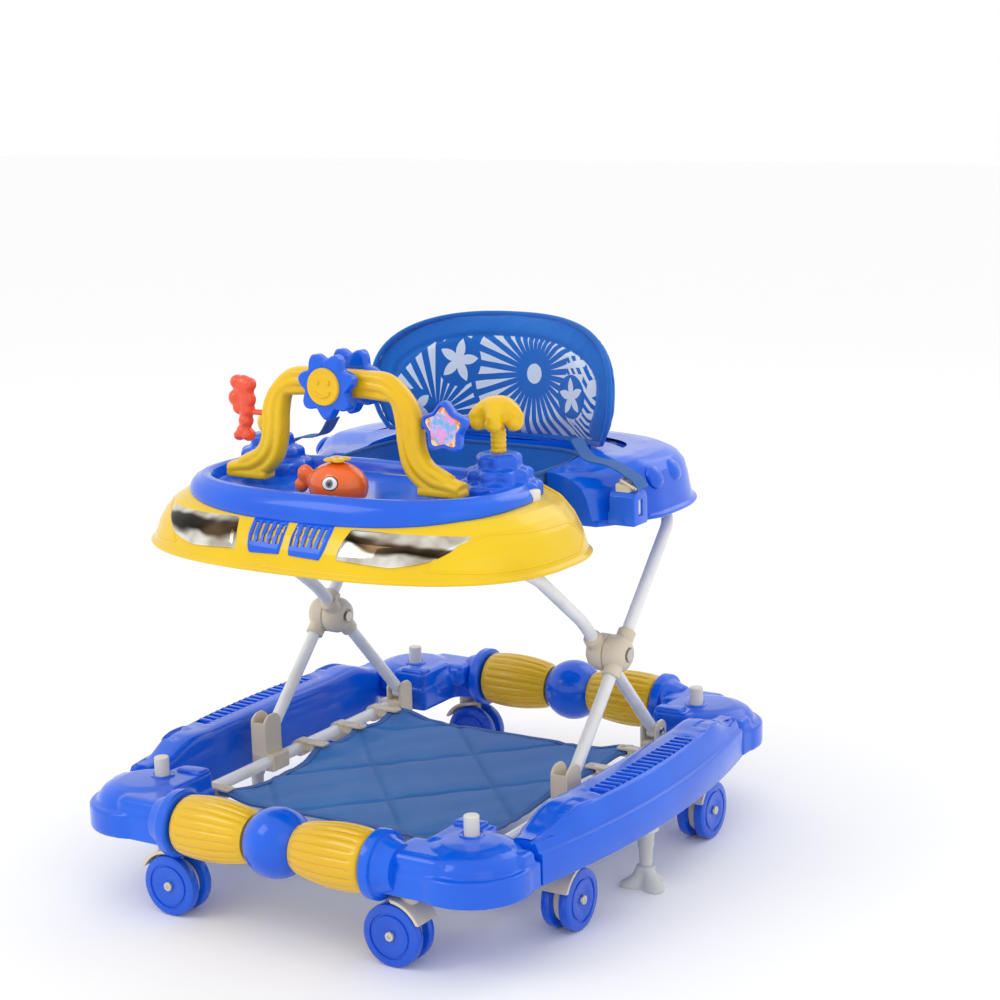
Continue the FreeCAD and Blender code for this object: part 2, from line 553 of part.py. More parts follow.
def make_seat():
    plan = (HOLE_X, (HOLE_FRONT + HOLE_REAR) / 2, 97, 97, 4)
    gap = 1.5
    outer = oval_body(plan, [(60, 330), (38, 338), (12, 372), (gap, 436)])
    inner = oval_body(plan, [(64, 333), (42, 341), (16, 375), (gap + 4, 437)])
    sling = outer.cut(inner)
    for sign in (1, -1):
        leg = cyl(32, 200, (sign * 56, -120, 372), Y)
        sling = sling.cut(leg.common(box(-200, 200, -120, 40, 300, 400)))
    save("seat_sling", max(sling.Solids, key=lambda s: s.Volume))

    r, half_t, height = BACK_R, BACK_HALF_T, BACK_H
    centre_y = BACK_Y - BACK_R
    slab = cyl(r + half_t, height + 6, (0, centre_y, 0), Z)
    slab = slab.cut(cyl(r - half_t, height + 6, (0, centre_y, 0), Z))
    slab = slab.common(box(-200, 200, 0, 300, 0, height + 6))
    arc_z = 60.0
    outline = Part.Wire([
        Part.makeLine(V(-158, -50, 0), V(158, -50, 0)),
        Part.Arc(V(158, -50, 0), V(171, -50, 28), V(172, -50, arc_z)).toShape(),
        Part.Arc(V(172, -50, arc_z), V(108, -50, 120), V(0, -50, height)).toShape(),
        Part.Arc(V(0, -50, height), V(-108, -50, 120), V(-172, -50, arc_z)).toShape(),
        Part.Arc(V(-172, -50, arc_z), V(-171, -50, 28), V(-158, -50, 0)).toShape()])
    back = slab.common(Part.Face(outline).extrude(V(0, 400, 0)))
    back.rotate(V(0, BACK_Y, 0), X, -BACK_LEAN)
    back.translate(V(0, 0, REST_TOP + 2.6))
    save("seat_back", max(back.Solids, key=lambda s: s.Volume))


def make_belt(armrest):
    """A waist strap on each side, from the seat back's lower corner to its buckle on the armrest."""
    x0, width, front = 160.0, 24.0, REST_FRONT + 4
    path = [(x0, 476), (x0 + 16, 456), (x0 + 46, 450.5), (x0 + 73, 437), (x0 + 79, 429)]
    upper = [V(x, front, z) for x, z in path]
    lower = [V(x - 0.4, front, z - 1.8) for x, z in reversed(path)]
    strap = Part.Face(Part.makePolygon(upper + lower + upper[:1])).extrude(V(0, width, 0))
    frame = box(x0 + 75, x0 + 81, front - 3, front + width + 3, 424.2, 437)
    frame = frame.cut(box(x0 + 70, x0 + 90, front - 0.2, front + width + 0.2, 427.4, 434))
    frame = frame.cut(armrest).cut(strap)
    save("belt_straps", strap, mirror_x(strap))
    save("belt_buckles", frame, mirror_x(frame))


# ---------------------------------------------------------------- toys


def make_arch():
    y = ARCH_Y
    points = [(-128, y, 458), (-96, y, 466), (-84, y, 500), (-82, y, ARCH_TOP - 26), (-52, y, ARCH_TOP),
              (52, y, ARCH_TOP), (82, y, ARCH_TOP - 26), (84, y, 500), (96, y, 466), (128, y, 458)]
    arch = sweep(points, [12, 30, 90, 26, 26, 90, 30, 12], ARCH_R)
    feet = []
    for sign in (1, -1):
        foot = Part.makeSphere(12, V(sign * 138, y, PLAY_TOP + 4))
        low = Part.makeSphere(11, V(sign * 128, y, PLAY_TOP))
        toe = cyl(11, 60, (sign * 78, y, TRAY_TOP + 15), V(sign, 0, 0))
        feet += [foot, low, toe]
    arch = fuse([arch] + feet)
    arch = arch.cut(box(-300, 300, -300, 0, 400, TRAY_TOP + 4))
    arch = arch.cut(cyl(3 + RUN, 80, (0, y - 40, ARCH_TOP), Y))
    for sign in (1, -1):
        arch = arch.cut(cyl(3 + RUN, 30, (sign * 84, y, STAR_Z), V(sign, 0, 0)))
    arch = arch.cut(play_space())
    save("toy_arch", max(arch.Solids, key=lambda s: s.Volume))


def play_space():
    """The raised rim and floor of the play tray, which the arch's feet sit on."""
    plan = (PLAY_A, PLAY_MID, PLAY_FRONT, PLAY_REAR, 2.5)
    body = oval_body(plan, [(5, TRAY_TOP), (0, TRAY_TOP + 7), (2, PLAY_TOP - 3), (6, PLAY_TOP)])
    return body.cut(oval_body(plan, [(20, TRAY_TOP + 4), (14, PLAY_TOP + 1)]))


def petals(centre_y, thick):
    """A flower disc with seven round lobes, facing along Y."""
    disc = cyl(FLOWER_R - 7, thick, (0, centre_y - thick / 2, ARCH_TOP), Y)
    lobes = [disc]
    for i in range(7):
        a = 2 * math.pi * i / 7
        r = FLOWER_R - 10
        lobes.append(cyl(9.5, thick, (r * math.cos(a), centre_y - thick / 2, ARCH_TOP + r * math.sin(a)), Y))
    return fuse(lobes)


def make_flower():
    reach = ARCH_R + 9.5
    front, rear = petals(ARCH_Y - reach, 15), petals(ARCH_Y + reach, 15)
    disc = cyl(20, 6, (0, ARCH_Y - reach - 11, ARCH_TOP), Y)
    pin = cyl(3, 2 * reach, (0, ARCH_Y - reach, ARCH_TOP), Y)
    save("flower_spinner", fuse([front, rear, disc, pin]))


def make_star_and_coral():
    x = STAR_X
    points = []
    for i in range(10):
        a = math.pi / 2 + i * math.pi / 5
        r = 30 if i % 2 == 0 else 17
        points.append(V(x + r * math.cos(a), ARCH_Y - 7, STAR_Z + r * math.sin(a)))
    star = Part.Face(Part.makePolygon(points + points[:1])).extrude(V(0, 14, 0))
    star = round_edges(star, 3, lambda e: e.BoundBox.YLength > 10)
    post = cyl(3, 20, (STAR_X - 34, ARCH_Y, STAR_Z), X)
    save("star_toy", fuse([star, post]))
    x = -STAR_X
    knobs = [
        (x + 2, STAR_Z + 26, 13),
        (x - 7, STAR_Z + 14, 10),
        (x + 5, STAR_Z + 12, 11),
        (x + 6, STAR_Z, 9),
        (x + 4, STAR_Z - 12, 8),
        (x + 1, STAR_Z - 24, 8),
    ]
    coral = fuse([cyl(r, 14, (cx, ARCH_Y - 7, cz), Y) for cx, cz, r in knobs])
    post = cyl(3, 25, (x + 34, ARCH_Y, STAR_Z), V(-1, 0, 0))
    save("coral_toy", fuse([coral, post]))


def make_fish():
    """A round fish body that rocks on a small pin between two posts of the play tray."""
    half = Part.Ellipse(V(31, 0, 0), V(0, 24, 0), V(0, 0, 0)).toShape(0, math.pi)
    outline = Part.Wire([half, Part.makeLine(V(-31, 0, 0), V(31, 0, 0))])
    body = Part.Face(outline).revolve(V(0, 0, 0), X, 360)
    body.translate(V(FISH_X + 12, FISH_Y, FISH_Z + 8))
    tail = Part.makeCone(6, 14, 26, V(FISH_X - 14, FISH_Y, FISH_Z + 6), V(-1, 0, 0.35))
    tail = tail.common(box(-200, 200, FISH_Y - 7, FISH_Y + 7, 400, 520))
    fish = fuse([body, tail])
    fish = fish.cut(box(-200, 200, -300, 0, 400, TRAY_TOP + 8))
    for x in (FISH_X - 16, FISH_X + 16):
        fish = fish.cut(box(x - 3.6, x + 3.6, FISH_Y - 14, FISH_Y + 14, 400, FISH_Z + 7.5))
    fish = fish.fuse(cyl(2, 42, (FISH_X - 21, FISH_Y, FISH_Z), X))
    fish = max(fish.Solids, key=lambda s: s.Volume)
    save("fish_toy", fish)
    z = FISH_Z + 32.6
    leaves = [cyl(5, 4, (FISH_X + 12, FISH_Y, z), Z)]
    for i in range(4):
        a = math.pi / 4 + i * math.pi / 2
        leaves.append(cyl(6, 3, (FISH_X + 12 + 9 * math.cos(a), FISH_Y + 9 * math.sin(a), z + 1.2), Z))
    stalk = cyl(2, 8, (FISH_X + 12, FISH_Y, z - 6), Z)
    sprout = fuse(leaves + [stalk]).cut(fish)
    save("fish_sprout", max(sprout.Solids, key=lambda s: s.Volume))


def make_palm():
    """A palm with a ringed stem and a crown of five drooping lobes, and the knob on the other hill."""
    x, y = HILL_X, HILL_Y
    stem = cyl(6, 60, (x, y, HILL_TOP - 26), Z)
    rings = [cyl(8, 3, (x, y, HILL_TOP + 2 + 6 * i), Z) for i in range(4)]
    dome_low, dome_r = HILL_TOP + 34, 25.0
    outline = [V(0, 0, dome_low), V(dome_r, 0, dome_low), V(dome_r - 4, 0, dome_low + 11),
               V(dome_r - 13, 0, dome_low + 21), V(0, 0, dome_low + 25)]
    crown = Part.Face(Part.makePolygon(outline + outline[:1])).revolve(V(0, 0, 0), Z, 360)
    crown.translate(V(x, y, 0))
    lobes = []
    for i in range(5):
        a = 2 * math.pi * i / 5
        lobes.append(cyl(11, 15, (x + 19.5 * math.cos(a), y + 19.5 * math.sin(a), HILL_TOP + 24), Z))
    palm = fuse([stem] + rings + [crown] + lobes)
    save("palm_toy", palm)
    knob = Part.makeSphere(15, V(-x, y, HILL_TOP + 12))
    knob = fuse([knob, cyl(9, 14, (-x, y, HILL_TOP + 0.5), Z), cyl(4, 20, (-x, y, HILL_TOP - 16), Z)])
    knob = knob.cut(box(-300, 0, -300, 100, 400, HILL_TOP + 0.4).cut(cyl(4, 40, (-x, y, HILL_TOP - 30), Z)))
    save("dome_knob", knob)


# ---------------------------------------------------------------- stoppers and casters


def make_stoppers():
    for name, sign in (("right", 1), ("left", -1)):
        x, y = sign * STOPPER[0], STOPPER[1]
        stem = cyl(9, 58, (x, y, 44), Z)
        neck = Part.makeCone(9, 6.5, 20, V(x, y, 44), V(0, 0, -1))
        foot = [Part.makeCone(12, 20, 16, V(x, y, 22), V(0, 0, -1)), cyl(20, 6, (x, y, 0), Z)]
        for i in range(3):
            a = math.pi / 2 + 2 * math.pi * i / 3
            foot.append(cyl(8, 6, (x + 19 * math.cos(a), y + 19 * math.sin(a), 0), Z))
        save("stopper_" + name, fuse([stem, neck, cyl(6.5, 4, (x, y, 20), Z)] + foot))
    housings = []
    for sign in (1, -1):
        x, y = sign * STOPPER[0], STOPPER[1]
        sleeve = cyl(14, 44, (x, y, 64), Z).cut(cyl(9 + 0.1, 60, (x, y, 60), Z))
        flange = box(x - 15, x + 15, y - 15, y + 15, RAIL_TOP - 34, RAIL_TOP - 30)
        flange = flange.cut(cyl(9.1, 60, (x, y, 60), Z))
        housings.append(fuse([sleeve, flange]))
    save("stopper_housings", *housings)


def caster(swivel, direction):
    """One caster: its fork's stem is on the swivel axis and its wheels trail along direction."""
    sx, sy = swivel
    dx, dy = direction
    axle_at = V(sx + TRAIL * dx, sy + TRAIL * dy, WHEEL_R)
    across = V(-dy, dx, 0)
    core_half = 4.5
    stem = cyl(STEM_R, 26, (sx, sy, 72), Z)
    neck = cyl(9, 11.5, (sx, sy, WHEEL_R * 2 + 0.5), Z)
    hood = Part.makeCylinder(25, 2 * core_half, axle_at - across * core_half, across)
    brow = Part.makeCylinder(WHEEL_R + 6, 34, axle_at - across * 17, across)
    brow = brow.cut(Part.makeCylinder(WHEEL_R + 2.5, 40, axle_at - across * 20, across))
    brow = brow.common(Part.makeBox(60, 60, 26, V(sx - 30 - 10 * dx, sy - 30 - 10 * dy, 50)))
    rib = Part.makeCylinder(WHEEL_R + 4, 2 * core_half, axle_at - across * core_half, across)
    rib = rib.common(Part.makeBox(38, 38, 24, V(sx - 19, sy - 19, 50)))
    pin = Part.makeCylinder(3, 34, axle_at - across * 17, across)
    heads = [Part.makeCylinder(4.5, 1.4, axle_at + across * 17, across),
             Part.makeCylinder(4.5, 1.4, axle_at - across * 17, across * -1)]
    fork = fuse([stem, neck, hood, brow, rib, pin] + heads)
    swept = cyl(60, 14, (sx, sy, WHEEL_R * 2 + 0.2), Z)
    swept = swept.cut(cyl(SWIVEL_CLEAR_R, 14, (sx, sy, WHEEL_R * 2 + 0.2), Z))
    fork = fork.cut(swept)
    wheels = []
    for side in (1, -1):
        start = axle_at + across * (side * (core_half + 0.4))
        wheel = Part.makeCylinder(WHEEL_R, WHEEL_W - 0.4, start, across * side)
        wheel = round_edges(wheel, 3, lambda e: True)
        groove = Part.makeCylinder(24, 1.5, start + across * (side * (WHEEL_W - 1.7)), across * side).cut(
            Part.makeCylinder(21, 1.5, start + across * (side * (WHEEL_W - 1.7)), across * side))
        wheel = wheel.cut(groove)
        wheels.append(wheel.cut(Part.makeCylinder(3 + RUN, 60, axle_at - across * 30, across)))
    return fork, wheels


def make_casters():
    for name, swivel, direction in CASTERS:
        fork, wheels = caster(swivel, direction)
        save("caster_fork_" + name, fork)
        save("caster_wheels_" + name, *wheels)


def main():
    os.makedirs("parts", exist_ok=True)
    make_corners()
    make_rails()
    make_base_tubes()
    make_rollers()
    make_pegs()
    make_mat()
    make_scissor()
    make_hinge_blocks()
    make_tray()
    armrest = make_armrest()
    make_height_rack()
    make_play_tray()
    make_seat()
    make_belt(armrest)
    make_arch()
    make_flower()
    make_star_and_coral()
    make_fish()
    make_palm()
    make_stoppers()
    make_casters()
    print(len(made), "nodes")


main()
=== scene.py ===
"""Looks of a folding baby walker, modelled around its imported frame.

Sizes are in millimetres and become metres where a mesh is written. The front of the walker is -Y,
its right side is +X, +Z is up, and the floor is z = 0.
"""

from __future__ import annotations

import json
import logging
import math
from dataclasses import dataclass
from enum import Enum
from typing import Callable, Iterable, Sequence

import bmesh
import bpy
import numpy as np
from mathutils import Matrix, Vector

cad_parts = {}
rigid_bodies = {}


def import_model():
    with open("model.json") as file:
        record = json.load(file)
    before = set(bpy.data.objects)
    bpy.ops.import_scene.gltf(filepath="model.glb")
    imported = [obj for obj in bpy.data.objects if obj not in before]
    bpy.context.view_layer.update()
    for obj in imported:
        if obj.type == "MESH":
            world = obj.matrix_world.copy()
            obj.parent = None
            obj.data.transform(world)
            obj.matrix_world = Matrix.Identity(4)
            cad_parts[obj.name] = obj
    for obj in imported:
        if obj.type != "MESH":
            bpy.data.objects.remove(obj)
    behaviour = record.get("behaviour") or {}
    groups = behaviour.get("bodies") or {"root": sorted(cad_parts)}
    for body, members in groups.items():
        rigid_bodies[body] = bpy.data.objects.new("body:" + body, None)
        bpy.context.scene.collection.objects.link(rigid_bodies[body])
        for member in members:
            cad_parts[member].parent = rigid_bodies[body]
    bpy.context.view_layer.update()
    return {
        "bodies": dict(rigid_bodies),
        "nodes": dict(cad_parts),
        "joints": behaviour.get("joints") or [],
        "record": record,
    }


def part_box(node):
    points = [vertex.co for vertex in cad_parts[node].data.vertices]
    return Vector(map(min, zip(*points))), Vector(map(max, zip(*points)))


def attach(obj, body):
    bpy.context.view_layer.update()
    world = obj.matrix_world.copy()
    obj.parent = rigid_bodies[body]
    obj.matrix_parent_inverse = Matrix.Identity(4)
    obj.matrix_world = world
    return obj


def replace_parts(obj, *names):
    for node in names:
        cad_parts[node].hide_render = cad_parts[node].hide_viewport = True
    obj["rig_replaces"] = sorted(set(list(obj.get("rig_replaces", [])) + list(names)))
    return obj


LOG = logging.getLogger("walker")
MM = 0.001
FULL_TURN = 2 * math.pi
Ring = list[Vector]
Plan = list[tuple[float, float]]
TUBE_X, TUBE_Z = 188.0, 92.0
PIVOT_Z = 112.0
CLIP_YS = (-188.0, -10.0, 66.0, 140.0)
ARCH_Y, ARCH_TOP = -165.0, 556.0
MIRROR_X = Matrix.Scale(-1, 4, (1, 0, 0))
MIRROR_Y = Matrix.Scale(-1, 4, (0, 1, 0))


# ---------------------------------------------------------------- lines and outlines


def ease(value: float, start: float, end: float) -> float:
    """Smooth step from 0 at start to 1 at end."""
    share = min(1.0, max(0.0, (value - start) / (end - start)))
    return share * share * (3 - 2 * share)


def lerp(a: float, b: float, share: float) -> float:
    """The value that lies at share of the way from a to b."""
    return a + (b - a) * share


def rounded(points: Sequence[Sequence[float]], radius: float | Sequence[float], steps: int = 6,
            closed: bool = True) -> Plan:
    """Round the corners of a flat outline.

    Args:
        points: Corners in order.
        radius: One radius, or one per corner. A radius is cut down where its sides are short.
        steps: Points on each arc.
        closed: Whether the last corner joins the first.

    Returns:
        The outline as points.
    """
    count = len(points)
    radii = [float(radius)] * count if isinstance(radius, (int, float)) else list(radius)
    out: Plan = []
    for i, point in enumerate(points):
        corner = Vector((point[0], point[1]))
        if radii[i] <= 0 or (not closed and i in (0, count - 1)):
            out.append((corner.x, corner.y))
            continue
        before = Vector(points[i - 1][:2]) - corner
        after = Vector(points[(i + 1) % count][:2]) - corner
        reach = 0.48 * min(before.length, after.length)
        a, b = before.normalized(), after.normalized()
        half = math.acos(max(-1.0, min(1.0, a.dot(b)))) / 2
        if half > math.pi / 2 - 0.01:
            out.append((corner.x, corner.y))
            continue
        back = min(radii[i] / math.tan(half), reach)
        start, end = corner + a * back, corner + b * back
        for k in range(steps + 1):
            t = k / steps
            spot = start * (1 - t) ** 2 + corner * 2 * t * (1 - t) + end * t * t
            out.append((spot.x, spot.y))
    return out


def evenly(points: Sequence[Sequence[float]], count: int, closed: bool = True) -> list[Vector]:
    """Points at equal distances along a line of any dimension."""
    line = [Vector(p) for p in points]
    if closed:
        line.append(line[0])
    reach = [0.0]
    for a, b in zip(line, line[1:]):
        reach.append(reach[-1] + (b - a).length)
    out, at = [], 0
    steps = count if closed else count - 1
    for i in range(count):
        want = reach[-1] * i / steps
        while at < len(line) - 2 and reach[at + 1] < want:
            at += 1
        span = reach[at + 1] - reach[at] or 1.0
        out.append(line[at].lerp(line[at + 1], (want - reach[at]) / span))
    return out


def flowing(points: Sequence[Sequence[float]], count: int) -> list[Vector]:
    """A smooth line through points of any dimension, as count even points."""
    line = [Vector(p) for p in points]
    ends = [line[0] * 2 - line[1], *line, line[-1] * 2 - line[-2]]
    fine = []
    for a, b, c, d in zip(ends, ends[1:], ends[2:], ends[3:]):
        for k in range(12):
            t = k / 12
            fine.append((b * 2 + (c - a) * t + (a * 2 - b * 5 + c * 4 - d) * t * t
                         + (b * 3 - a - c * 3 + d) * t ** 3) / 2)
    fine.append(line[-1])
    return evenly(fine, count, closed=False)


def circle(radius: float, count: int, wave: float = 0.0, lobes: int = 0, phase: float = 0.0) -> Plan:
    """A flat circle, or a lobed outline where wave and lobes are given."""
    out = []
    for i in range(count):
        turn = FULL_TURN * i / count
        reach = radius + wave * math.cos(lobes * turn + phase)
        out.append((reach * math.cos(turn), reach * math.sin(turn)))
    return out


class Facing(Enum):
    """The direction that a flat outline's normal has once it is placed."""

    UP = "z"
    FRONT = "y"
    SIDE = "x"

    def place(self, flat: Iterable[Sequence[float]], out: float, at: Sequence[float] = (0, 0, 0)) -> Ring:
        """Put a flat outline in space, out along the normal from at."""
        base = Vector(at)
        if self is Facing.UP:
            return [base + Vector((p[0], p[1], out)) for p in flat]
        if self is Facing.FRONT:
            return [base + Vector((p[0], out, p[1])) for p in flat]
        return [base + Vector((out, p[0], p[1])) for p in flat]


@dataclass(frozen=True)
class Oval:
    """A superellipse in plan whose front and rear halves differ in depth."""

    half_width: float
    middle: float
    front: float
    rear: float
    power: float

    def at(self, turn: float, inset: float) -> tuple[float, float]:
        """The point at a turn from +X, inset from the outline."""
        c, s = math.cos(turn), math.sin(turn)
        depth = (self.front if s < 0 else self.rear) - inset
        x = math.copysign(abs(c) ** (2 / self.power), c) * (self.half_width - inset)
        return x, self.middle + math.copysign(abs(s) ** (2 / self.power), s) * depth

    def ring(self, inset: float, z: float, count: int = 128) -> Ring:
        """The outline at an inset and height, with even points."""
        flat = [self.at(FULL_TURN * i / (count * 4), inset) for i in range(count * 4)]
        return [Vector((p.x, p.y, z)) for p in evenly(flat, count)]

    def inset_of(self, x: float, y: float) -> float:
        """How far inside the outline a point lies."""
        low, high = 0.0, min(self.front, self.rear) - 1
        for _ in range(24):
            inset = (low + high) / 2
            depth = (self.front if y < self.middle else self.rear) - inset
            reach = ((abs(x) / (self.half_width - inset)) ** self.power
                     + (abs(y - self.middle) / depth) ** self.power)
            low, high = (inset, high) if reach < 1 else (low, inset)
        return low

    def front_y(self, x: float, inset: float) -> float:
        """The front side's y at x."""
        share = min(1.0, abs(x) / (self.half_width - inset))
        return self.middle - (self.front - inset) * (1 - share ** self.power) ** (1 / self.power)


def z_at(profile: Sequence[tuple[float, float]], inset: float) -> float:
    """The height of a rising (inset, z) profile at an inset."""
    for (a, low), (b, high) in zip(profile, profile[1:]):
        if a <= inset <= b and b > a:
            return lerp(low, high, (inset - a) / (b - a))
    return profile[-1][1] if inset > profile[-1][0] else profile[0][1]


def inset_at(profile: Sequence[tuple[float, float]], z: float) -> float:
    """The inset of a rising (inset, z) profile at height z."""
    for (a, low), (b, high) in zip(profile, profile[1:]):
        if low <= z <= high and high > low:
            return lerp(a, b, (z - low) / (high - low))
    return profile[-1][0] if z > profile[-1][1] else profile[0][0]


# ---------------------------------------------------------------- the bench


class Bench:
    """Modelling operators, used as by hand, and what every finished piece is given."""

    def clear(self) -> None:
        """Leave edit mode and deselect everything."""
        active = bpy.context.view_layer.objects.active
        if active is not None and active.mode != "OBJECT":
            bpy.ops.object.mode_set(mode="OBJECT")
        bpy.ops.object.select_all(action="DESELECT")

    def pick(self, *objs: bpy.types.Object) -> None:
        """Select only these objects and make the first one active."""
        self.clear()
        for obj in objs:
            obj.select_set(True)
        bpy.context.view_layer.objects.active = objs[0]

    def loft(self, name: str, rings: Sequence[Ring], caps: bool = True) -> bpy.types.Object:
        """Extrude a circle from ring to ring.

        Args:
            name: The object's name.
            rings: Closed rings of equally many points, in millimetres.
            caps: Whether the first and last rings are filled.

        Returns:
            The object, with its normals outwards.
        """
        self.clear()
        count = len(rings[0])
        bpy.ops.mesh.primitive_circle_add(vertices=count, radius=0.01)
        obj = bpy.context.active_object
        obj.name = name
        bpy.ops.object.mode_set(mode="EDIT")
        mesh = bmesh.from_edit_mesh(obj.data)
        mesh.verts.ensure_lookup_table()
        row = list(range(count))
        for i, spot in zip(row, rings[0]):
            mesh.verts[i].co = spot * MM
        first = list(row)
        bpy.ops.mesh.select_all(action="SELECT")
        for ring in rings[1:]:
            total = len(mesh.verts)
            bpy.ops.mesh.extrude_region_move()
            mesh = bmesh.from_edit_mesh(obj.data)
            mesh.verts.ensure_lookup_table()
            mesh.verts.index_update()
            fresh = []
            for i in row:
                old = mesh.verts[i]
                fresh.append(next(e.other_vert(old).index for e in old.link_edges
                                  if e.other_vert(old).index >= total))
            for i, spot in zip(fresh, ring):
                mesh.verts[i].co = spot * MM
            row = fresh
        if caps:
            bpy.ops.mesh.edge_face_add()
            bpy.ops.mesh.select_all(action="DESELECT")
            mesh = bmesh.from_edit_mesh(obj.data)
            mesh.verts.ensure_lookup_table()
            for i in first:
                mesh.verts[i].select = True
            mesh.select_flush(True)
            bpy.ops.mesh.edge_face_add()
        self.outward(obj)
        return obj

    def outward(self, obj: bpy.types.Object) -> None:
        """Merge doubles and point every face outwards."""
        self.pick(obj)
        bpy.ops.object.mode_set(mode="EDIT")
        bpy.ops.mesh.select_all(action="SELECT")
        bpy.ops.mesh.remove_doubles(threshold=1e-6)
        bpy.ops.mesh.normals_make_consistent(inside=False)
        bpy.ops.object.mode_set(mode="OBJECT")

    def prism(self, name: str, flat: Sequence[Sequence[float]], low: float, high: float, facing: Facing,
              at: Sequence[float] = (0, 0, 0), bevel: float = 0.0, segments: int = 2) -> bpy.types.Object:
        """A flat outline extruded from low to high, with its edges bevelled."""
        obj = self.loft(name, [facing.place(flat, low, at), facing.place(flat, high, at)])
        if bevel:
            self.modify(obj, "BEVEL", width=bevel * MM, segments=segments, limit_method="ANGLE",
                        angle_limit=math.radians(50))
        return obj

    def block(self, name: str, low: Sequence[float], high: Sequence[float],
              bevel: float) -> bpy.types.Object:
        """A block with rounded edges, from its lowest to its highest corner."""
        flat = [(low[0], low[1]), (high[0], low[1]), (high[0], high[1]), (low[0], high[1])]
        return self.prism(name, flat, low[2], high[2], Facing.UP, bevel=bevel, segments=3)

    def lathe(self, name: str, profile: Sequence[tuple[float, float]], facing: Facing, at: Sequence[float],
              count: int = 48, warp: Callable[[float, float], float] | None = None) -> bpy.types.Object:
        """A turned form.

        Args:
            name: The object's name.
            profile: Radius and distance along the axis, in order.
            facing: The axis.
            at: The axis's foot.
            count: Points round the axis.
            warp: Gives a factor for the radius from a turn and a distance along the axis.

        Returns:
            The closed turned object.
        """
        rings = []
        for radius, out in profile:
            flat = []
            for i in range(count):
                turn = FULL_TURN * i / count
                reach = max(radius, 0.05) * (warp(turn, out) if warp else 1.0)
                flat.append((reach * math.cos(turn), reach * math.sin(turn)))
            rings.append(facing.place(flat, out, at))
        return self.loft(name, rings)

    def tube(self, name: str, path: Sequence[Sequence[float]], radius: float | Callable[[float], float],
             count: int = 16, flat: float = 1.0) -> bpy.types.Object:
        """A round bar along a path, whose radius may depend on the share of the way along it.

        Args:
            name: The object's name.
            path: Points in order.
            radius: The radius, or a function of the share along the path.
            count: Points round the bar.
            flat: The depth of the bar along Y as a share of its width.

        Returns:
            The bar.
        """
        line = [Vector(p) for p in path]
        rings, across = [], None
        for i, spot in enumerate(line):
            ahead = line[min(i + 1, len(line) - 1)] - line[max(i - 1, 0)]
            ahead.normalize()
            if across is None:
                across = ahead.orthogonal().normalized()
            across = (across - ahead * across.dot(ahead)).normalized()
            other = ahead.cross(across)
            share = i / (len(line) - 1)
            reach = radius(share) if callable(radius) else radius
            ring = []
            for k in range(count):
                turn = FULL_TURN * k / count
                step = across * (reach * math.cos(turn)) + other * (reach * math.sin(turn))
                step.y *= flat
                ring.append(spot + step)
            rings.append(ring)
        return self.loft(name, rings)

    def grid(self, name: str, across: int, along: int, shape: Callable[[float, float], Vector]
             ) -> bpy.types.Object:
        """A grid whose points lie at shape(u, v), u and v from 0 to 1."""
        self.clear()
        bpy.ops.mesh.primitive_grid_add(x_subdivisions=across, y_subdivisions=along, size=1.0)
        obj = bpy.context.active_object
        obj.name = name
        for vertex in obj.data.vertices:
            vertex.co = shape(vertex.co.x + 0.5, vertex.co.y + 0.5) * MM
        obj.data.update()
        return obj

    def delete_faces(self, obj: bpy.types.Object, test: Callable[[Vector], bool]) -> None:
        """Delete the faces whose centre, in millimetres, passes a test."""
        self.pick(obj)
        bpy.ops.object.mode_set(mode="EDIT")
        bpy.ops.mesh.select_all(action="DESELECT")
        bpy.ops.mesh.select_mode(type="FACE")
        mesh = bmesh.from_edit_mesh(obj.data)
        for face in mesh.faces:
            face.select_set(test(face.calc_center_median() / MM))
        bpy.ops.mesh.delete(type="FACE")
        bpy.ops.mesh.select_mode(type="VERT")
        bpy.ops.object.mode_set(mode="OBJECT")

    def modify(self, obj: bpy.types.Object, kind: str, **settings: object) -> None:
        """Add a modifier with these settings and apply it."""
        self.pick(obj)
        modifier = obj.modifiers.new(kind.title(), kind)
        for key, value in settings.items():
            setattr(modifier, key, value)
        bpy.ops.object.modifier_apply(modifier=modifier.name)

    def cut(self, obj: bpy.types.Object, *cutters: bpy.types.Object) -> bpy.types.Object:
        """Take the cutters out of an object."""
        for cutter in cutters:
            self.modify(obj, "BOOLEAN", object=cutter, operation="DIFFERENCE", solver="EXACT")
            bpy.data.objects.remove(cutter)
        return obj

    def join(self, name: str, objs: Sequence[bpy.types.Object]) -> bpy.types.Object:
        """Join objects into one piece."""
        self.pick(*objs)
        bpy.ops.object.join()
        whole = bpy.context.active_object
        whole.name = name
        return whole

    def fused(self, name: str, objs: Sequence[bpy.types.Object], voxel: float, passes: int
              ) -> bpy.types.Object:
        """Melt closed forms into one skin, and soften where they meet."""
        whole = self.join(name, objs)
        self.modify(whole, "REMESH", mode="VOXEL", voxel_size=voxel * MM)
        self.modify(whole, "SMOOTH", factor=0.5, iterations=passes)
        return whole

    def copy(self, obj: bpy.types.Object, name: str, place: Matrix) -> bpy.types.Object:
        """A copy with its own mesh, moved, turned or mirrored by a matrix in metres."""
        twin = obj.copy()
        twin.data = obj.data.copy()
        twin.name = name
        bpy.context.scene.collection.objects.link(twin)
        twin.data.transform(place)
        if place.determinant() < 0:
            twin.data.flip_normals()
        twin.data.update()
        return twin

    def smooth(self, obj: bpy.types.Object, degrees: float = 38.0) -> None:
        """Shade smooth across edges flatter than an angle."""
        self.pick(obj)
        bpy.ops.object.shade_smooth_by_angle(angle=math.radians(degrees))

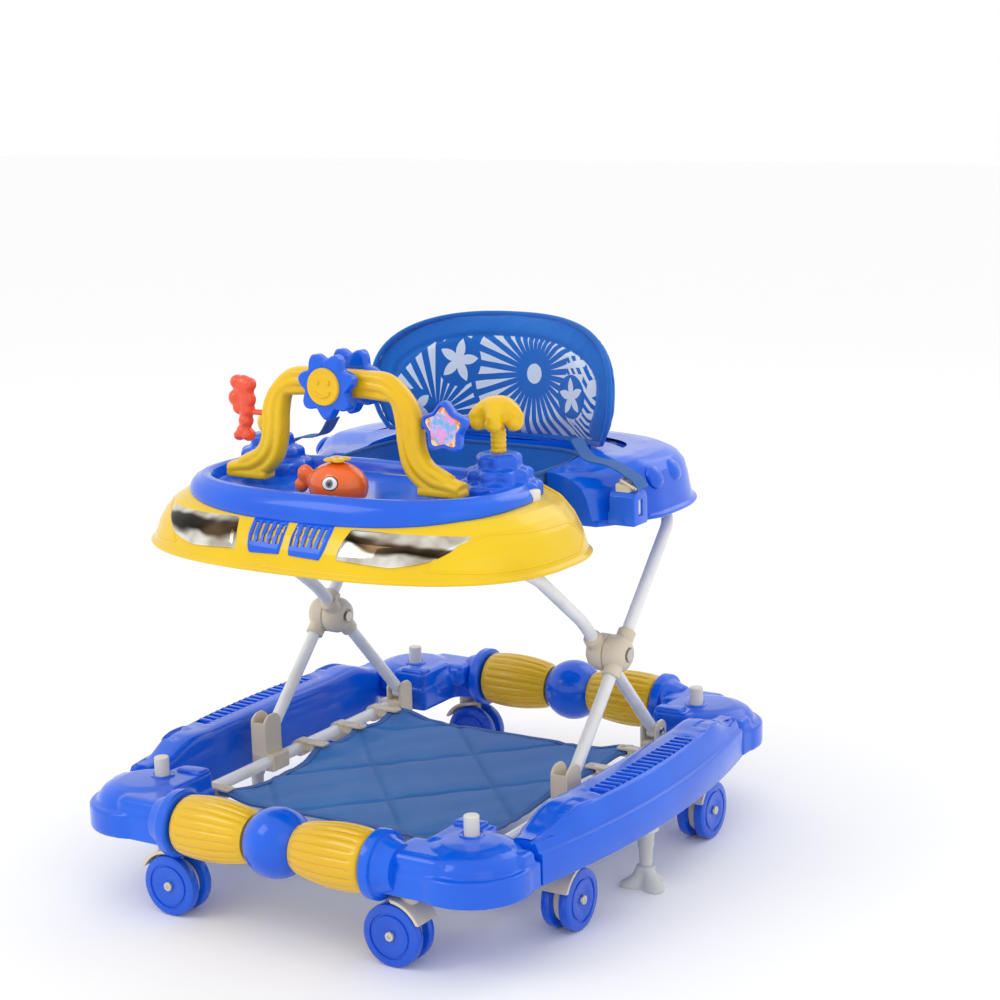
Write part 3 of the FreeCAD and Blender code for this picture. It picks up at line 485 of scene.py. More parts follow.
    def settle(self, obj: bpy.types.Object, body: str, finish: bpy.types.Material,
               nodes: Sequence[str] = (), degrees: float = 38.0) -> bpy.types.Object:
        """Finish a piece: material, shading, the body it rides on and the nodes it stands for."""
        self.clear()
        obj.data.materials.clear()
        obj.data.materials.append(finish)
        self.smooth(obj, degrees)
        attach(obj, body)
        if nodes:
            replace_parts(obj, *nodes)
        LOG.info("%s: %d faces on %s", obj.name, len(obj.data.polygons), body)
        return obj


    def settle_pair(self, obj: bpy.types.Object, body: str, finish: bpy.types.Material,
                    nodes: Sequence[str] = ()) -> None:
        """Finish a right-hand piece, and its mirrored copy on the left."""
        self.settle(obj, body, finish, nodes)
        twin = self.copy(obj, obj.name.replace("right", "left"), MIRROR_X)
        self.settle(twin, body, finish)


def span(node: str) -> tuple[Vector, Vector]:
    """A frame node's lowest and highest corners, in millimetres."""
    low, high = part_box(node)
    return low / MM, high / MM


def centre(node: str) -> Vector:
    """The middle of a frame node's box, in millimetres."""
    low, high = span(node)
    return (low + high) / 2


def shift(x: float = 0.0, y: float = 0.0, z: float = 0.0) -> Matrix:
    """A move in millimetres, as a matrix in metres."""
    return Matrix.Translation((x * MM, y * MM, z * MM))


# ---------------------------------------------------------------- finishes


class Link:
    """A shader socket that adds Math nodes when it is used in an expression."""

    def __init__(self, shader: "Shader", socket: bpy.types.NodeSocket) -> None:
        """Wrap a socket of a shader's tree."""
        self.shader = shader
        self.socket = socket

    def maths(self, operation: str, *others: "Link | float", swap: bool = False) -> "Link":
        """A Math node on this socket and others."""
        values = [*others, self] if swap else [self, *others]
        node = self.shader.node("ShaderNodeMath", {"operation": operation}, dict(enumerate(values)))
        return Link(self.shader, node.outputs[0])

    def __add__(self, other: "Link | float") -> "Link":
        """Sum."""
        return self.maths("ADD", other)

    __radd__ = __add__

    def __sub__(self, other: "Link | float") -> "Link":
        """Difference."""
        return self.maths("SUBTRACT", other)

    def __rsub__(self, other: float) -> "Link":
        """Difference from a number."""
        return self.maths("SUBTRACT", other, swap=True)

    def __mul__(self, other: "Link | float") -> "Link":
        """Product."""
        return self.maths("MULTIPLY", other)

    __rmul__ = __mul__

    def __truediv__(self, other: "Link | float") -> "Link":
        """Quotient."""
        return self.maths("DIVIDE", other)

    def __gt__(self, other: "Link | float") -> "Link":
        """1 where this is greater, else 0."""
        return self.maths("GREATER_THAN", other)

    def __lt__(self, other: "Link | float") -> "Link":
        """1 where this is less, else 0."""
        return self.maths("LESS_THAN", other)

    def ramp(self, low: "Link | float", high: "Link | float", start: float = 0.0,
             end: float = 1.0) -> "Link":
        """A smooth step from start to end as this goes from low to high."""
        node = self.shader.node("ShaderNodeMapRange", {"interpolation_type": "SMOOTHSTEP"},
                                {0: self, 1: low, 2: high, 3: start, 4: end})
        return Link(self.shader, node.outputs[0])


class Shader:
    """A material's nodes, with one method for every kind of node."""

    def __init__(self, name: str) -> None:
        """Start a material with a Principled shader."""
        self.material = bpy.data.materials.new(name)
        self.material.use_nodes = True
        self.tree = self.material.node_tree
        self.surface = self.tree.nodes["Principled BSDF"]

    def node(self, kind: str, settings: dict[str, object],
             values: dict[int | str, object]) -> bpy.types.Node:
        """Add a node, set it up, and give its sockets values or links."""
        made = self.tree.nodes.new(kind)
        for key, value in settings.items():
            setattr(made, key, value)
        for key, value in values.items():
            self.feed(made.inputs[key], value)
        return made

    def feed(self, socket: bpy.types.NodeSocket, value: object) -> None:
        """Link or set one socket."""
        if isinstance(value, Link):
            self.tree.links.new(value.socket, socket)
        elif isinstance(value, bpy.types.NodeSocket):
            self.tree.links.new(value, socket)
        else:
            socket.default_value = value

    def place(self) -> bpy.types.NodeSocket:
        """Object coordinates."""
        return self.node("ShaderNodeTexCoord", {}, {}).outputs["Object"]

    def noise(self, scale: float, detail: float = 3.0, stretch: Sequence[float] = (1, 1, 1)) -> Link:
        """Noise of a scale per metre, as a number around a half."""
        spot = self.node("ShaderNodeMapping", {}, {"Vector": self.place(), "Scale": stretch}).outputs[0]
        made = self.node("ShaderNodeTexNoise", {}, {"Vector": spot, "Scale": scale, "Detail": detail})
        return Link(self, made.outputs[0])

    def waves(self, scale: float, axis: str) -> Link:
        """Parallel waves across an axis, as a number from 0 to 1."""
        made = self.node("ShaderNodeTexWave", {"bands_direction": axis},
                         {"Vector": self.place(), "Scale": scale, "Distortion": 0.4, "Detail": 1.0})
        return Link(self, made.outputs["Fac"])

    def mix(self, factor: Link | float, a: object, b: object) -> bpy.types.NodeSocket:
        """A colour from a to b by a factor."""
        made = self.node("ShaderNodeMix", {"data_type": "RGBA"}, {})
        self.feed(made.inputs[0], factor)
        self.feed(made.inputs[6], a)
        self.feed(made.inputs[7], b)
        return made.outputs[2]

    def bump(self, height: Link, distance: float, strength: float = 1.0) -> None:
        """Feed a height to the surface's normal."""
        made = self.node("ShaderNodeBump", {}, {"Height": height, "Distance": distance,
                                                "Strength": strength})
        self.feed(self.surface.inputs["Normal"], made.outputs[0])

    def set(self, **values: object) -> None:
        """Give the surface's own sockets values or links; an underscore stands for a space."""
        for key, value in values.items():
            self.feed(self.surface.inputs[key.replace("_", " ")], value)


def colour(red: int, green: int, blue: int, gain: float = 1.0) -> tuple[float, float, float, float]:
    """A screen colour of 0 to 255 as a linear one."""
    linear = []
    for value in (red, green, blue):
        c = value / 255
        linear.append(min(1.0, gain * (c / 12.92 if c <= 0.04045 else ((c + 0.055) / 1.055) ** 2.4)))
    return linear[0], linear[1], linear[2], 1.0


@dataclass(frozen=True)
class Plastic:
    """Moulded plastic with a slight orange-peel skin and rubbed patches."""

    name: str
    tint: tuple[float, float, float, float]
    shade: tuple[float, float, float, float]
    roughness: float = 0.2
    coat: float = 0.4
    peel: float = 0.00006
    glow: float = 0.0

    def make(self) -> bpy.types.Material:
        """Build the material."""
        look = Shader(self.name)
        cloud = look.noise(9.0, 3.0)
        grain = look.noise(420.0, 2.0)
        rub = look.noise(26.0, 4.0)
        look.set(Base_Color=look.mix(cloud.ramp(0.3, 0.7) * 0.7 + grain * 0.08, self.tint, self.shade))
        look.set(Roughness=rub.ramp(0.35, 0.75, self.roughness * 0.75, self.roughness * 1.35),
                 Coat_Weight=self.coat, Coat_Roughness=0.06, IOR=1.42,
                 Subsurface_Weight=self.glow, Subsurface_Radius=(0.6, 0.5, 0.3), Subsurface_Scale=0.004)
        look.bump(look.noise(160.0, 2.0) * 0.8 + grain * 0.2, self.peel)
        return look.material


@dataclass(frozen=True)
class Metal:
    """Bare or painted metal: painted where metallic is 0."""

    name: str
    tint: tuple[float, float, float, float]
    metallic: float
    roughness: float

    def make(self) -> bpy.types.Material:
        """Build the material."""
        look = Shader(self.name)
        speck = look.noise(700.0, 2.0)
        wear = look.noise(18.0, 5.0)
        dark = (self.tint[0] * 0.8, self.tint[1] * 0.8, self.tint[2] * 0.78, 1.0)
        look.set(Base_Color=look.mix(wear.ramp(0.45, 0.8), self.tint, dark), Metallic=self.metallic,
                 Roughness=speck.ramp(0.3, 0.7, self.roughness * 0.8, self.roughness * 1.2),
                 Coat_Weight=0.0 if self.metallic else 0.35, Coat_Roughness=0.12)
        look.bump(speck, 0.00004)
        return look.material


class LampFinish:
    """Chromed plastic: bright, with long dark streaks of painted reflection in its colour, where a curved
    mirror would show its surroundings.
    """

    def make(self) -> bpy.types.Material:
        """Build the material."""
        look = Shader("chrome_lamp")
        spot = look.node("ShaderNodeSeparateXYZ", {}, {0: look.place()})
        side, height = Link(look, spot.outputs[0]), Link(look, spot.outputs[2])
        drift = look.noise(14.0, 2.0, (1.0, 1.0, 2.2))
        # Painted reflection: a dark streak at one height, and dark patches higher up and towards the outer
        # ends.
        level = (height - 0.414) * 62.0 + (drift - 0.5) * 2.6 + side.maths("ABSOLUTE") * 6.0 - 0.9
        band = level.ramp(-0.95, -0.55) * (1 - level.ramp(-0.05, 0.35))
        corner = level.ramp(0.75, 1.15) * look.noise(22.0, 1.0, (1.6, 1.0, 1.0)).ramp(0.45, 0.6)
        bright = look.mix(look.noise(30.0, 2.0).ramp(0.35, 0.7), colour(236, 232, 224),
                          colour(176, 166, 150))
        # The painted reflection's dark, warm colour.
        warm = look.mix(drift.ramp(0.4, 0.62), colour(30, 24, 18), colour(104, 84, 62))
        # Base colour: the bright chrome tone, varying at random, with the painted reflection streaks laid
        # over it.
        look.set(Base_Color=look.mix((band + corner).maths("MINIMUM", 1.0), bright, warm), Metallic=1.0,
                 Roughness=look.noise(90.0, 2.0).ramp(0.3, 0.8, 0.05, 0.12))
        look.bump(look.noise(60.0, 1.0), 0.0002)
        return look.material


@dataclass(frozen=True)
class Cloth:
    """Woven cloth in two tones, with the threads as fine crossing waves."""

    name: str
    tint: tuple[float, float, float, float]
    shade: tuple[float, float, float, float]
    threads: float = 520.0
    depth: float = 0.00018
    printed: bool = False

    def make(self) -> bpy.types.Material:
        """Build the material."""
        look = Shader(self.name)
        warp = look.waves(self.threads, "X")
        weft = look.waves(self.threads, "Z") if self.printed else look.waves(self.threads, "Y")
        weave = warp * weft + (1 - warp) * (1 - weft)
        fade = look.noise(7.0, 4.0)
        fuzz = look.noise(900.0, 2.0)
        base = look.mix(fade.ramp(0.3, 0.72) * 0.6 + weave * 0.25 + fuzz * 0.15, self.tint, self.shade)
        if self.printed:
            base = look.mix(self.pattern(look), base, look.mix(weave * 0.5 + fuzz * 0.3,
                                                               colour(222, 232, 246),
                                                               colour(186, 204, 232)))
        look.set(Base_Color=base, Roughness=fuzz.ramp(0.3, 0.7, 0.78, 0.95), Sheen_Weight=0.25,
                 Sheen_Roughness=0.5, Specular_IOR_Level=0.25)
        look.bump(weave * 0.6 + fuzz * 0.4, self.depth)
        return look.material

    def pattern(self, look: Shader) -> Link:
        """The white part of the print: sun bursts, stars, chevrons and small ovals inside a border."""
        chart = look.node("ShaderNodeUVMap", {"uv_map": "Print"}, {}).outputs[0]
        parts = look.node("ShaderNodeSeparateXYZ", {}, {0: chart})
        across, up = Link(look, parts.outputs[0]), Link(look, parts.outputs[1])
        edge = Link(look, look.node("ShaderNodeAttribute", {"attribute_name": "border"}, {}).outputs["Fac"])

        def polar(x: float, y: float, squeeze: float = 1.0) -> tuple[Link, Link]:
            dx, dy = (across - x) * squeeze, up - y
            return (dx * dx + dy * dy).maths("SQRT"), dy.maths("ARCTAN2", dx)

        def rays(x: float, y: float, count: int, inner: float, outer: float, grow: float) -> Link:
            reach, turn = polar(x, y)
            wedge = (turn * count).maths("COSINE")
            limit = reach.ramp(inner, inner + grow, 1.0, -0.12)
            return (wedge > limit) * (reach > inner) * (reach < outer)

        def star(x: float, y: float, points: int, size: float, tilt: float) -> Link:
            reach, turn = polar(x, y)
            wedge = ((turn + tilt) * points / FULL_TURN).maths("FRACT") - 0.5
            rim = size * (1 - wedge.maths("ABSOLUTE") * 1.35)
            return reach < rim

        def disc(x: float, y: float, size: float, squeeze: float = 1.0) -> Link:
            return polar(x, y, squeeze)[0] < size

        sun = rays(0.42, 0.72, 30, 0.27, 0.86, 0.5).maths("MAXIMUM", disc(0.42, 0.72, 0.115))
        left = rays(-0.92, 0.18, 26, 0.12, 1.15, 0.7)
        left = left * (polar(0.42, 0.72)[0] > 0.92)
        stripes = ((across.maths("ABSOLUTE") * 9.0 + up * 8.0).maths("FRACT") > 0.52)
        chevrons = stripes * (across > 0.98) * (up < 1.05)
        zigzag = (((across * 5.0).maths("FRACT") - 0.5).maths("ABSOLUTE") * 0.36 + up * 1.6).maths("FRACT")
        lower = (zigzag > 0.55) * (up < 0.34) * (across > -0.2)
        lower = lower * (polar(0.42, 0.72)[0] > 0.80)
        stars = star(-0.66, 0.82, 5, 0.26, 0.5).maths("MAXIMUM", star(-1.18, 0.26, 4, 0.20, 0.0))
        stars = stars.maths("MAXIMUM", star(1.08, 0.50, 5, 0.22, 0.2))
        ovals = disc(1.42, 0.62, 0.10, 1.5).maths("MAXIMUM", disc(-0.30, 0.22, 0.09))
        whole = sun.maths("MAXIMUM", left).maths("MAXIMUM", chevrons).maths("MAXIMUM", lower)
        gap = (polar(-0.66, 0.82)[0] > 0.30) * (polar(1.08, 0.50)[0] > 0.25) * (polar(-1.18,
                                                                                      0.26)[0] > 0.22)
        whole = (whole * gap).maths("MAXIMUM", stars).maths("MAXIMUM", ovals)
        swirl = (look.noise(3.2, 1.0) - 0.5).maths("ABSOLUTE") > 0.012
        return whole * swirl * edge.ramp(0.0245, 0.0255)


class StickerFinish:
    """Shiny foil in pastel patches with a warm rim."""

    def make(self) -> bpy.types.Material:
        """Build the material."""
        look = Shader("foil_sticker")
        patch = look.noise(85.0, 2.0)
        fleck = look.noise(230.0, 1.0)
        edge = Link(look, look.node("ShaderNodeAttribute", {"attribute_name": "rim"}, {}).outputs["Fac"])
        pastel = look.mix(patch.ramp(0.4, 0.6), colour(236, 150, 205), colour(92, 178, 232))
        pastel = look.mix(fleck.ramp(0.52, 0.6), pastel, colour(196, 176, 240))
        warm = look.mix(fleck.ramp(0.45, 0.55), colour(240, 130, 60), colour(246, 214, 150))
        look.set(Base_Color=look.mix(edge.ramp(0.55, 0.75), pastel, warm), Metallic=0.25, Coat_Weight=0.7,
                 Roughness=fleck.ramp(0.3, 0.7, 0.16, 0.3))
        look.bump(fleck, 0.00005)
        return look.material


class Finishes:
    """Every finish of the walker, made once."""

    def __init__(self) -> None:
        """Build all the materials."""
        deep_blue, blue = colour(2, 82, 212), colour(4, 100, 232)
        self.blue = Plastic("blue_plastic", blue, deep_blue, 0.2, 0.25).make()
        self.wheel_blue = Plastic("wheel_blue", colour(14, 96, 226), colour(8, 72, 196), 0.26, 0.3).make()
        self.yellow = Plastic("yellow_plastic", colour(240, 202, 0), colour(230, 188, 0), 0.18, 0.12).make()
        self.roller = Plastic("roller_yellow", colour(234, 190, 0), colour(222, 172, 0), 0.2, 0.5).make()
        self.toy_yellow = Plastic("toy_yellow", colour(240, 196, 2), colour(228, 176, 0), 0.2, 0.2).make()
        self.beige = Plastic("beige_plastic", colour(222, 211, 190), colour(206, 193, 168), 0.42, 0.1,
                             0.00012).make()
        self.cream = Plastic("cream_plastic", colour(232, 228, 218), colour(214, 208, 196), 0.4, 0.1,
                             0.00012).make()
        self.grey = Plastic("stopper_grey", colour(206, 206, 204), colour(188, 188, 184), 0.4, 0.1,
                            0.0001).make()
        self.orange = Plastic("orange_plastic", colour(244, 112, 34), colour(236, 92, 20), 0.2, 0.5).make()
        self.coral = Plastic("coral_plastic", colour(240, 84, 50), colour(226, 66, 36), 0.26, 0.4).make()
        self.white = Plastic("white_plastic", colour(240, 238, 236), colour(224, 222, 218), 0.3, 0.3).make()
        self.black = Plastic("eye_black", colour(20, 18, 22), colour(34, 30, 34), 0.25, 0.5).make()
        self.iris = Plastic("eye_grey", colour(128, 132, 146), colour(92, 96, 112), 0.25, 0.5).make()
        self.tube = Metal("white_tube", colour(236, 236, 236), 0.0, 0.32).make()
        self.steel = Metal("bare_steel", colour(196, 194, 190), 1.0, 0.3).make()
        self.lamp = LampFinish().make()
        self.canvas = Cloth("blue_canvas", colour(20, 118, 196), colour(10, 98, 176)).make()
        self.print = Cloth("printed_fabric", colour(22, 112, 206), colour(12, 92, 184), printed=True).make()
        self.plain = Cloth("plain_fabric", colour(22, 112, 204), colour(12, 92, 182)).make()
        self.webbing = Cloth("strap_webbing", colour(22, 104, 186), colour(12, 82, 160), 700.0,
                             0.0003).make()
        self.sticker = StickerFinish().make()


# ---------------------------------------------------------------- base


@dataclass
class Corner:
    """The four moulded corners of the base, each with a stepped lobe, an arm and a collar."""

    lobe_radius: float = 62.0
    low: float = 79.0
    top: float = 126.0
    arm_half: float = 21.0
    collar_radius: float = 36.0
    points: int = 132

    def outline(self, lobe: Vector, axle_y: float, collar_x: float) -> Plan:
        """The plan of the front right corner, anticlockwise from the arm's outer side."""
        arm_out, arm_in = axle_y - self.arm_half + 4, axle_y + self.arm_half + 3
        points: list[tuple[float, float]] = [(collar_x - 4, arm_out), (lobe.x - 52, arm_out + 1)]
        radii = [0.0, 14.0]
        for degrees in range(-112, 6, 9):
            turn = math.radians(degrees)
            points.append((lobe.x + self.lobe_radius * math.cos(turn),
                           lobe.y + self.lobe_radius * math.sin(turn)))
            radii.append(18.0)
        neck_y = lobe.y + 33.5
        points += [(lobe.x + 60, lobe.y + 14), (lobe.x + 59, neck_y), (lobe.x + 8, neck_y),
                   (lobe.x, lobe.y + 57), (lobe.x - 50, lobe.y + 57), (lobe.x - 50, arm_in),
                   (collar_x - 4, arm_in)]
        radii += [8.0, 2.0, 14.0, 6.0, 6.0, 14.0, 0.0]
        return rounded(points, radii, 5)

    def build(self, bench: Bench, looks: Finishes) -> None:
        """Model the front right corner, and copy it to the other three."""
        low, _ = span("corner_front_right")
        lobe = Vector((208.0, -262.0))
        axle = centre("front_ball")
        collar_x = low.x
        flat = np.array([tuple(p) for p in evenly(self.outline(lobe, axle.y, collar_x + 10.5),
                                                  self.points)])
        ahead, behind = np.roll(flat, -2, 0), np.roll(flat, 2, 0)
        along = ahead - behind
        inward = np.stack([-along[:, 1], along[:, 0]], 1)
        inward /= np.linalg.norm(inward, axis=1)[:, None]
        rings = [[Vector((*(spot + way * inset), z)) for spot, way in zip(flat, inward)]
                 for inset, z in ((0.8, self.low), (0, self.low + 0.8), (0, self.low + 25),
                                  (0.9, self.low + 26.6),
                                  (2.6, self.low + 27.2), (5.2, self.low + 27.4))]
        skirt = bench.loft("skirt", rings)
        top = self.top
        dome = bench.lathe("dome", [(55, 98), (55, 106), (53, 113), (47.5, 119.5), (40, top - 2.4),
                                    (30, top + 0.4),
                                    (12, top + 1)], Facing.UP, (lobe.x - 1, lobe.y + 1, 0), 72)
        arm = bench.block("arm", (138, -317.5, 96), (206, -262, top - 2.5), 9)
        back = bench.block("back", (160.5, -272, 96), (206, -207.5, top), 4)
        shoulder = bench.block("shoulder", (196, -262, 96), (264.5, -231, 119), 8)
        body = bench.fused("corner_front_right_moulding", [skirt, dome, arm, back, shoulder], 1.8, 4)
        r = self.collar_radius
        collar = bench.lathe("collar", [(12, 0), (r - 4, 0), (r - 1.2, 0.6), (r, 2), (r, 10), (r - 1, 12),
                                        (r - 5, 12.8), (r - 7.5, 16), (r - 9, 22), (r - 12, 30), (8, 32)],
                             Facing.SIDE, (collar_x, axle.y, axle.z), 72)
        boss = bench.lathe("boss", [(6, -2), (14.5, -2), (13.5, 1.2), (11.6, 2.4), (9.6, 2.0), (8.2, 0.5),
                                    (5, 0.4)], Facing.UP, (198, -247, self.top), 40)
        shelf = bench.block("shelf", (162, -228, self.top - 8), (196, -209, self.top + 3.5), 3.5)
        web = bench.block("web", (166, -236, self.low), (169, -206, self.top - 4), 1.0)
        socket = bench.prism("tube_socket", rounded([(176, self.low + 1), (200, self.low + 1), (200, 104),
                                                    (176, 104)], 5), -231, -203, Facing.FRONT, bevel=1.0)
        whole = bench.join(body.name, [body, collar, boss, shelf, web, socket])
        bench.settle(whole, "base", looks.blue, ["corner_front_right"])
        for name, place in (("front_left", MIRROR_X), ("rear_right", MIRROR_Y),
                            ("rear_left", MIRROR_X @ MIRROR_Y)):
            twin = bench.copy(whole, f"corner_{name}_moulding", place)
            bench.settle(twin, "base", looks.blue)
            twin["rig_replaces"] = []
            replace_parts(twin, f"corner_{name}")


@dataclass
class SideRail:
    """The bowed side rails: a skirt with a lip, a crowned top with a ribbed hollow, and shaped ends."""

    low: float = 79.0
    end: float = 227.0
    skirt: float = 33.0
    stations: int = 96
    ribs: int = 18
    rib_reach: float = 95.0

    def top(self, y: float) -> float:
        """The crown's height along the rail, lower at both ends, with a wave before them."""
        wave = 2.2 * math.sin(min(1.0, max(0.0, (abs(y) - 120) / 70)) * math.pi)
        return 138.0 - 13.0 * ease(abs(y), 150, 214) + wave

    def section(self, y: float) -> Plan:
        """The closed cross-section at y, as x and z."""
        bow = 1 - (y / self.end) ** 2
        inner, outer = 224 + 3 * bow, 267 + 24 * bow
        inner += 7 * ease(abs(y), 196, 222)
        top, lip = self.top(y), self.low + self.skirt
        hollow = 3.4 * ease(self.rib_reach + 11 - abs(y), 0, 5)
        hollow += 1.8 * ease(18 - abs(abs(y) - 150), 0, 4)
        mid_out, mid_in = outer - 17, inner + 23
        return [(outer - 5, self.low), (outer - 0.6, self.low), (outer, self.low + 0.8),
                (outer, lip - 2), (outer - 0.7, lip - 0.4), (outer - 2, lip + 0.2),
                (outer - 3.6, lip + 0.3),
                (outer - 4.4, lip + 1.1), (outer - 5.6, lip + 5), (outer - 8.2, lip + 10),
                (outer - 12, top - 5), (outer - 14.6, top - 2.4), (mid_out, top - 0.8),
                (mid_out - 0.8, top - 0.8 - hollow), (lerp(mid_out, mid_in, 0.5), top - hollow + 0.2),
                (mid_in + 0.8, top - hollow), (mid_in, top), (inner + 12, top + 0.2),
                (inner + 6, top - 0.6),
                (inner + 2.4, top - 3), (inner + 0.8, top - 7), (inner, top - 12), (inner, self.low + 1),
                (inner + 0.6, self.low), (inner + 5, self.low), (inner + 8, self.low + 2.4),
                (outer - 8, self.low + 2.4)]

    def build(self, bench: Bench, looks: Finishes) -> None:
        """Model the right rail and mirror it."""
        rings = []
        for i in range(self.stations + 1):
            y = lerp(-self.end, self.end, i / self.stations)
            rings.append([Vector((x, y, z)) for x, z in self.section(y)])
        rail = bench.loft("side_rail_right_moulding", rings)
        parts = [rail]
        for i in range(self.ribs):
            y = lerp(-self.rib_reach, self.rib_reach, i / (self.ribs - 1))
            bow = 1 - (y / self.end) ** 2
            x0, x1 = 227 + 3 * bow + 18, 267 + 24 * bow - 17
            flat = rounded([(x0, y - 2.2), (x1, y - 2.2 + 1.5), (x1, y + 2.2 + 1.5), (x0, y + 2.2)], 1.8, 3)
            parts.append(bench.prism("rib", flat, self.top(y) - 5, self.top(y) + 0.4, Facing.UP, bevel=0.9))
        for sign in (1, -1):
            line = rounded([(248, sign * 126), (268, sign * 124), (262, sign * 172), (248, sign * 176)],
                           7, 4)
            ring = evenly(line, 48)
            ring.append(ring[0])
            path = [(p.x, p.y, self.top(p.y) - 1.6) for p in ring]
            parts.append(bench.tube("panel_edge", path, 1.5, 8))
        whole = bench.join(rail.name, parts)
        bench.settle(whole, "base", looks.blue, ["side_rail_right"], 42)
        twin = bench.copy(whole, "side_rail_left_moulding", MIRROR_X)
        bench.settle(twin, "base", looks.blue, degrees=42)
        twin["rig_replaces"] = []
        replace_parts(twin, "side_rail_left")


@dataclass
class Rollers:
    """Two rollers, each of two fluted barrels and a ball between them."""

    flutes: int = 20
    points_per_flute: int = 10
    depth: float = 1.7

    def barrel(self, bench: Bench, name: str, at: Vector) -> bpy.types.Object:
        """The right barrel of a roller."""
        profile = flowing([(25.2, 30), (28.4, 38), (31.4, 53), (33.4, 70), (34, 84), (33.4, 100),
                           (32, 113)], 26)
        line = [(p.x, p.y) for p in profile] + [(31.2, 116.5), (29.6, 118.6), (26, 119), (12, 119)]
        line = [(12, 31), (23.6, 30)] + line

        def flute(turn: float, out: float) -> float:
            wave = abs(math.sin(self.flutes * turn / 2))
            strength = ease(out, 29, 36) * ease(115.5 - out, 0, 9)
            return 1 - self.depth / 33 * strength * (1 - wave) ** 1.6

        return bench.lathe(name, line, Facing.SIDE, at, self.flutes * self.points_per_flute, flute)

    def build(self, bench: Bench, looks: Finishes) -> None:
        """Model both rollers, each with its left barrel mirrored from its right one."""
        for end in ("front", "rear"):
            at = centre(f"{end}_ball")
            right = self.barrel(bench, f"{end}_barrels_fluted", Vector((0, at.y, at.z)))
            left = bench.copy(right, "left", MIRROR_X)
            pair = bench.join(f"{end}_barrels_fluted", [right, left])
            bench.settle(pair, f"{end}_roller", looks.roller, [f"{end}_barrels"], 50)
            ball = bench.lathe(f"{end}_ball_gloss", [(8.6, -33), (15.2, -33.7)]
                               + [(37 * math.cos(a), 37 * math.sin(a))
                                  for a in (math.radians(d) for d in range(-64, 65, 4))]
                               + [(15.2, 33.7), (8.6, 33)], Facing.SIDE, at, 72)
            bench.settle(ball, f"{end}_roller", looks.blue, [f"{end}_ball"], 60)


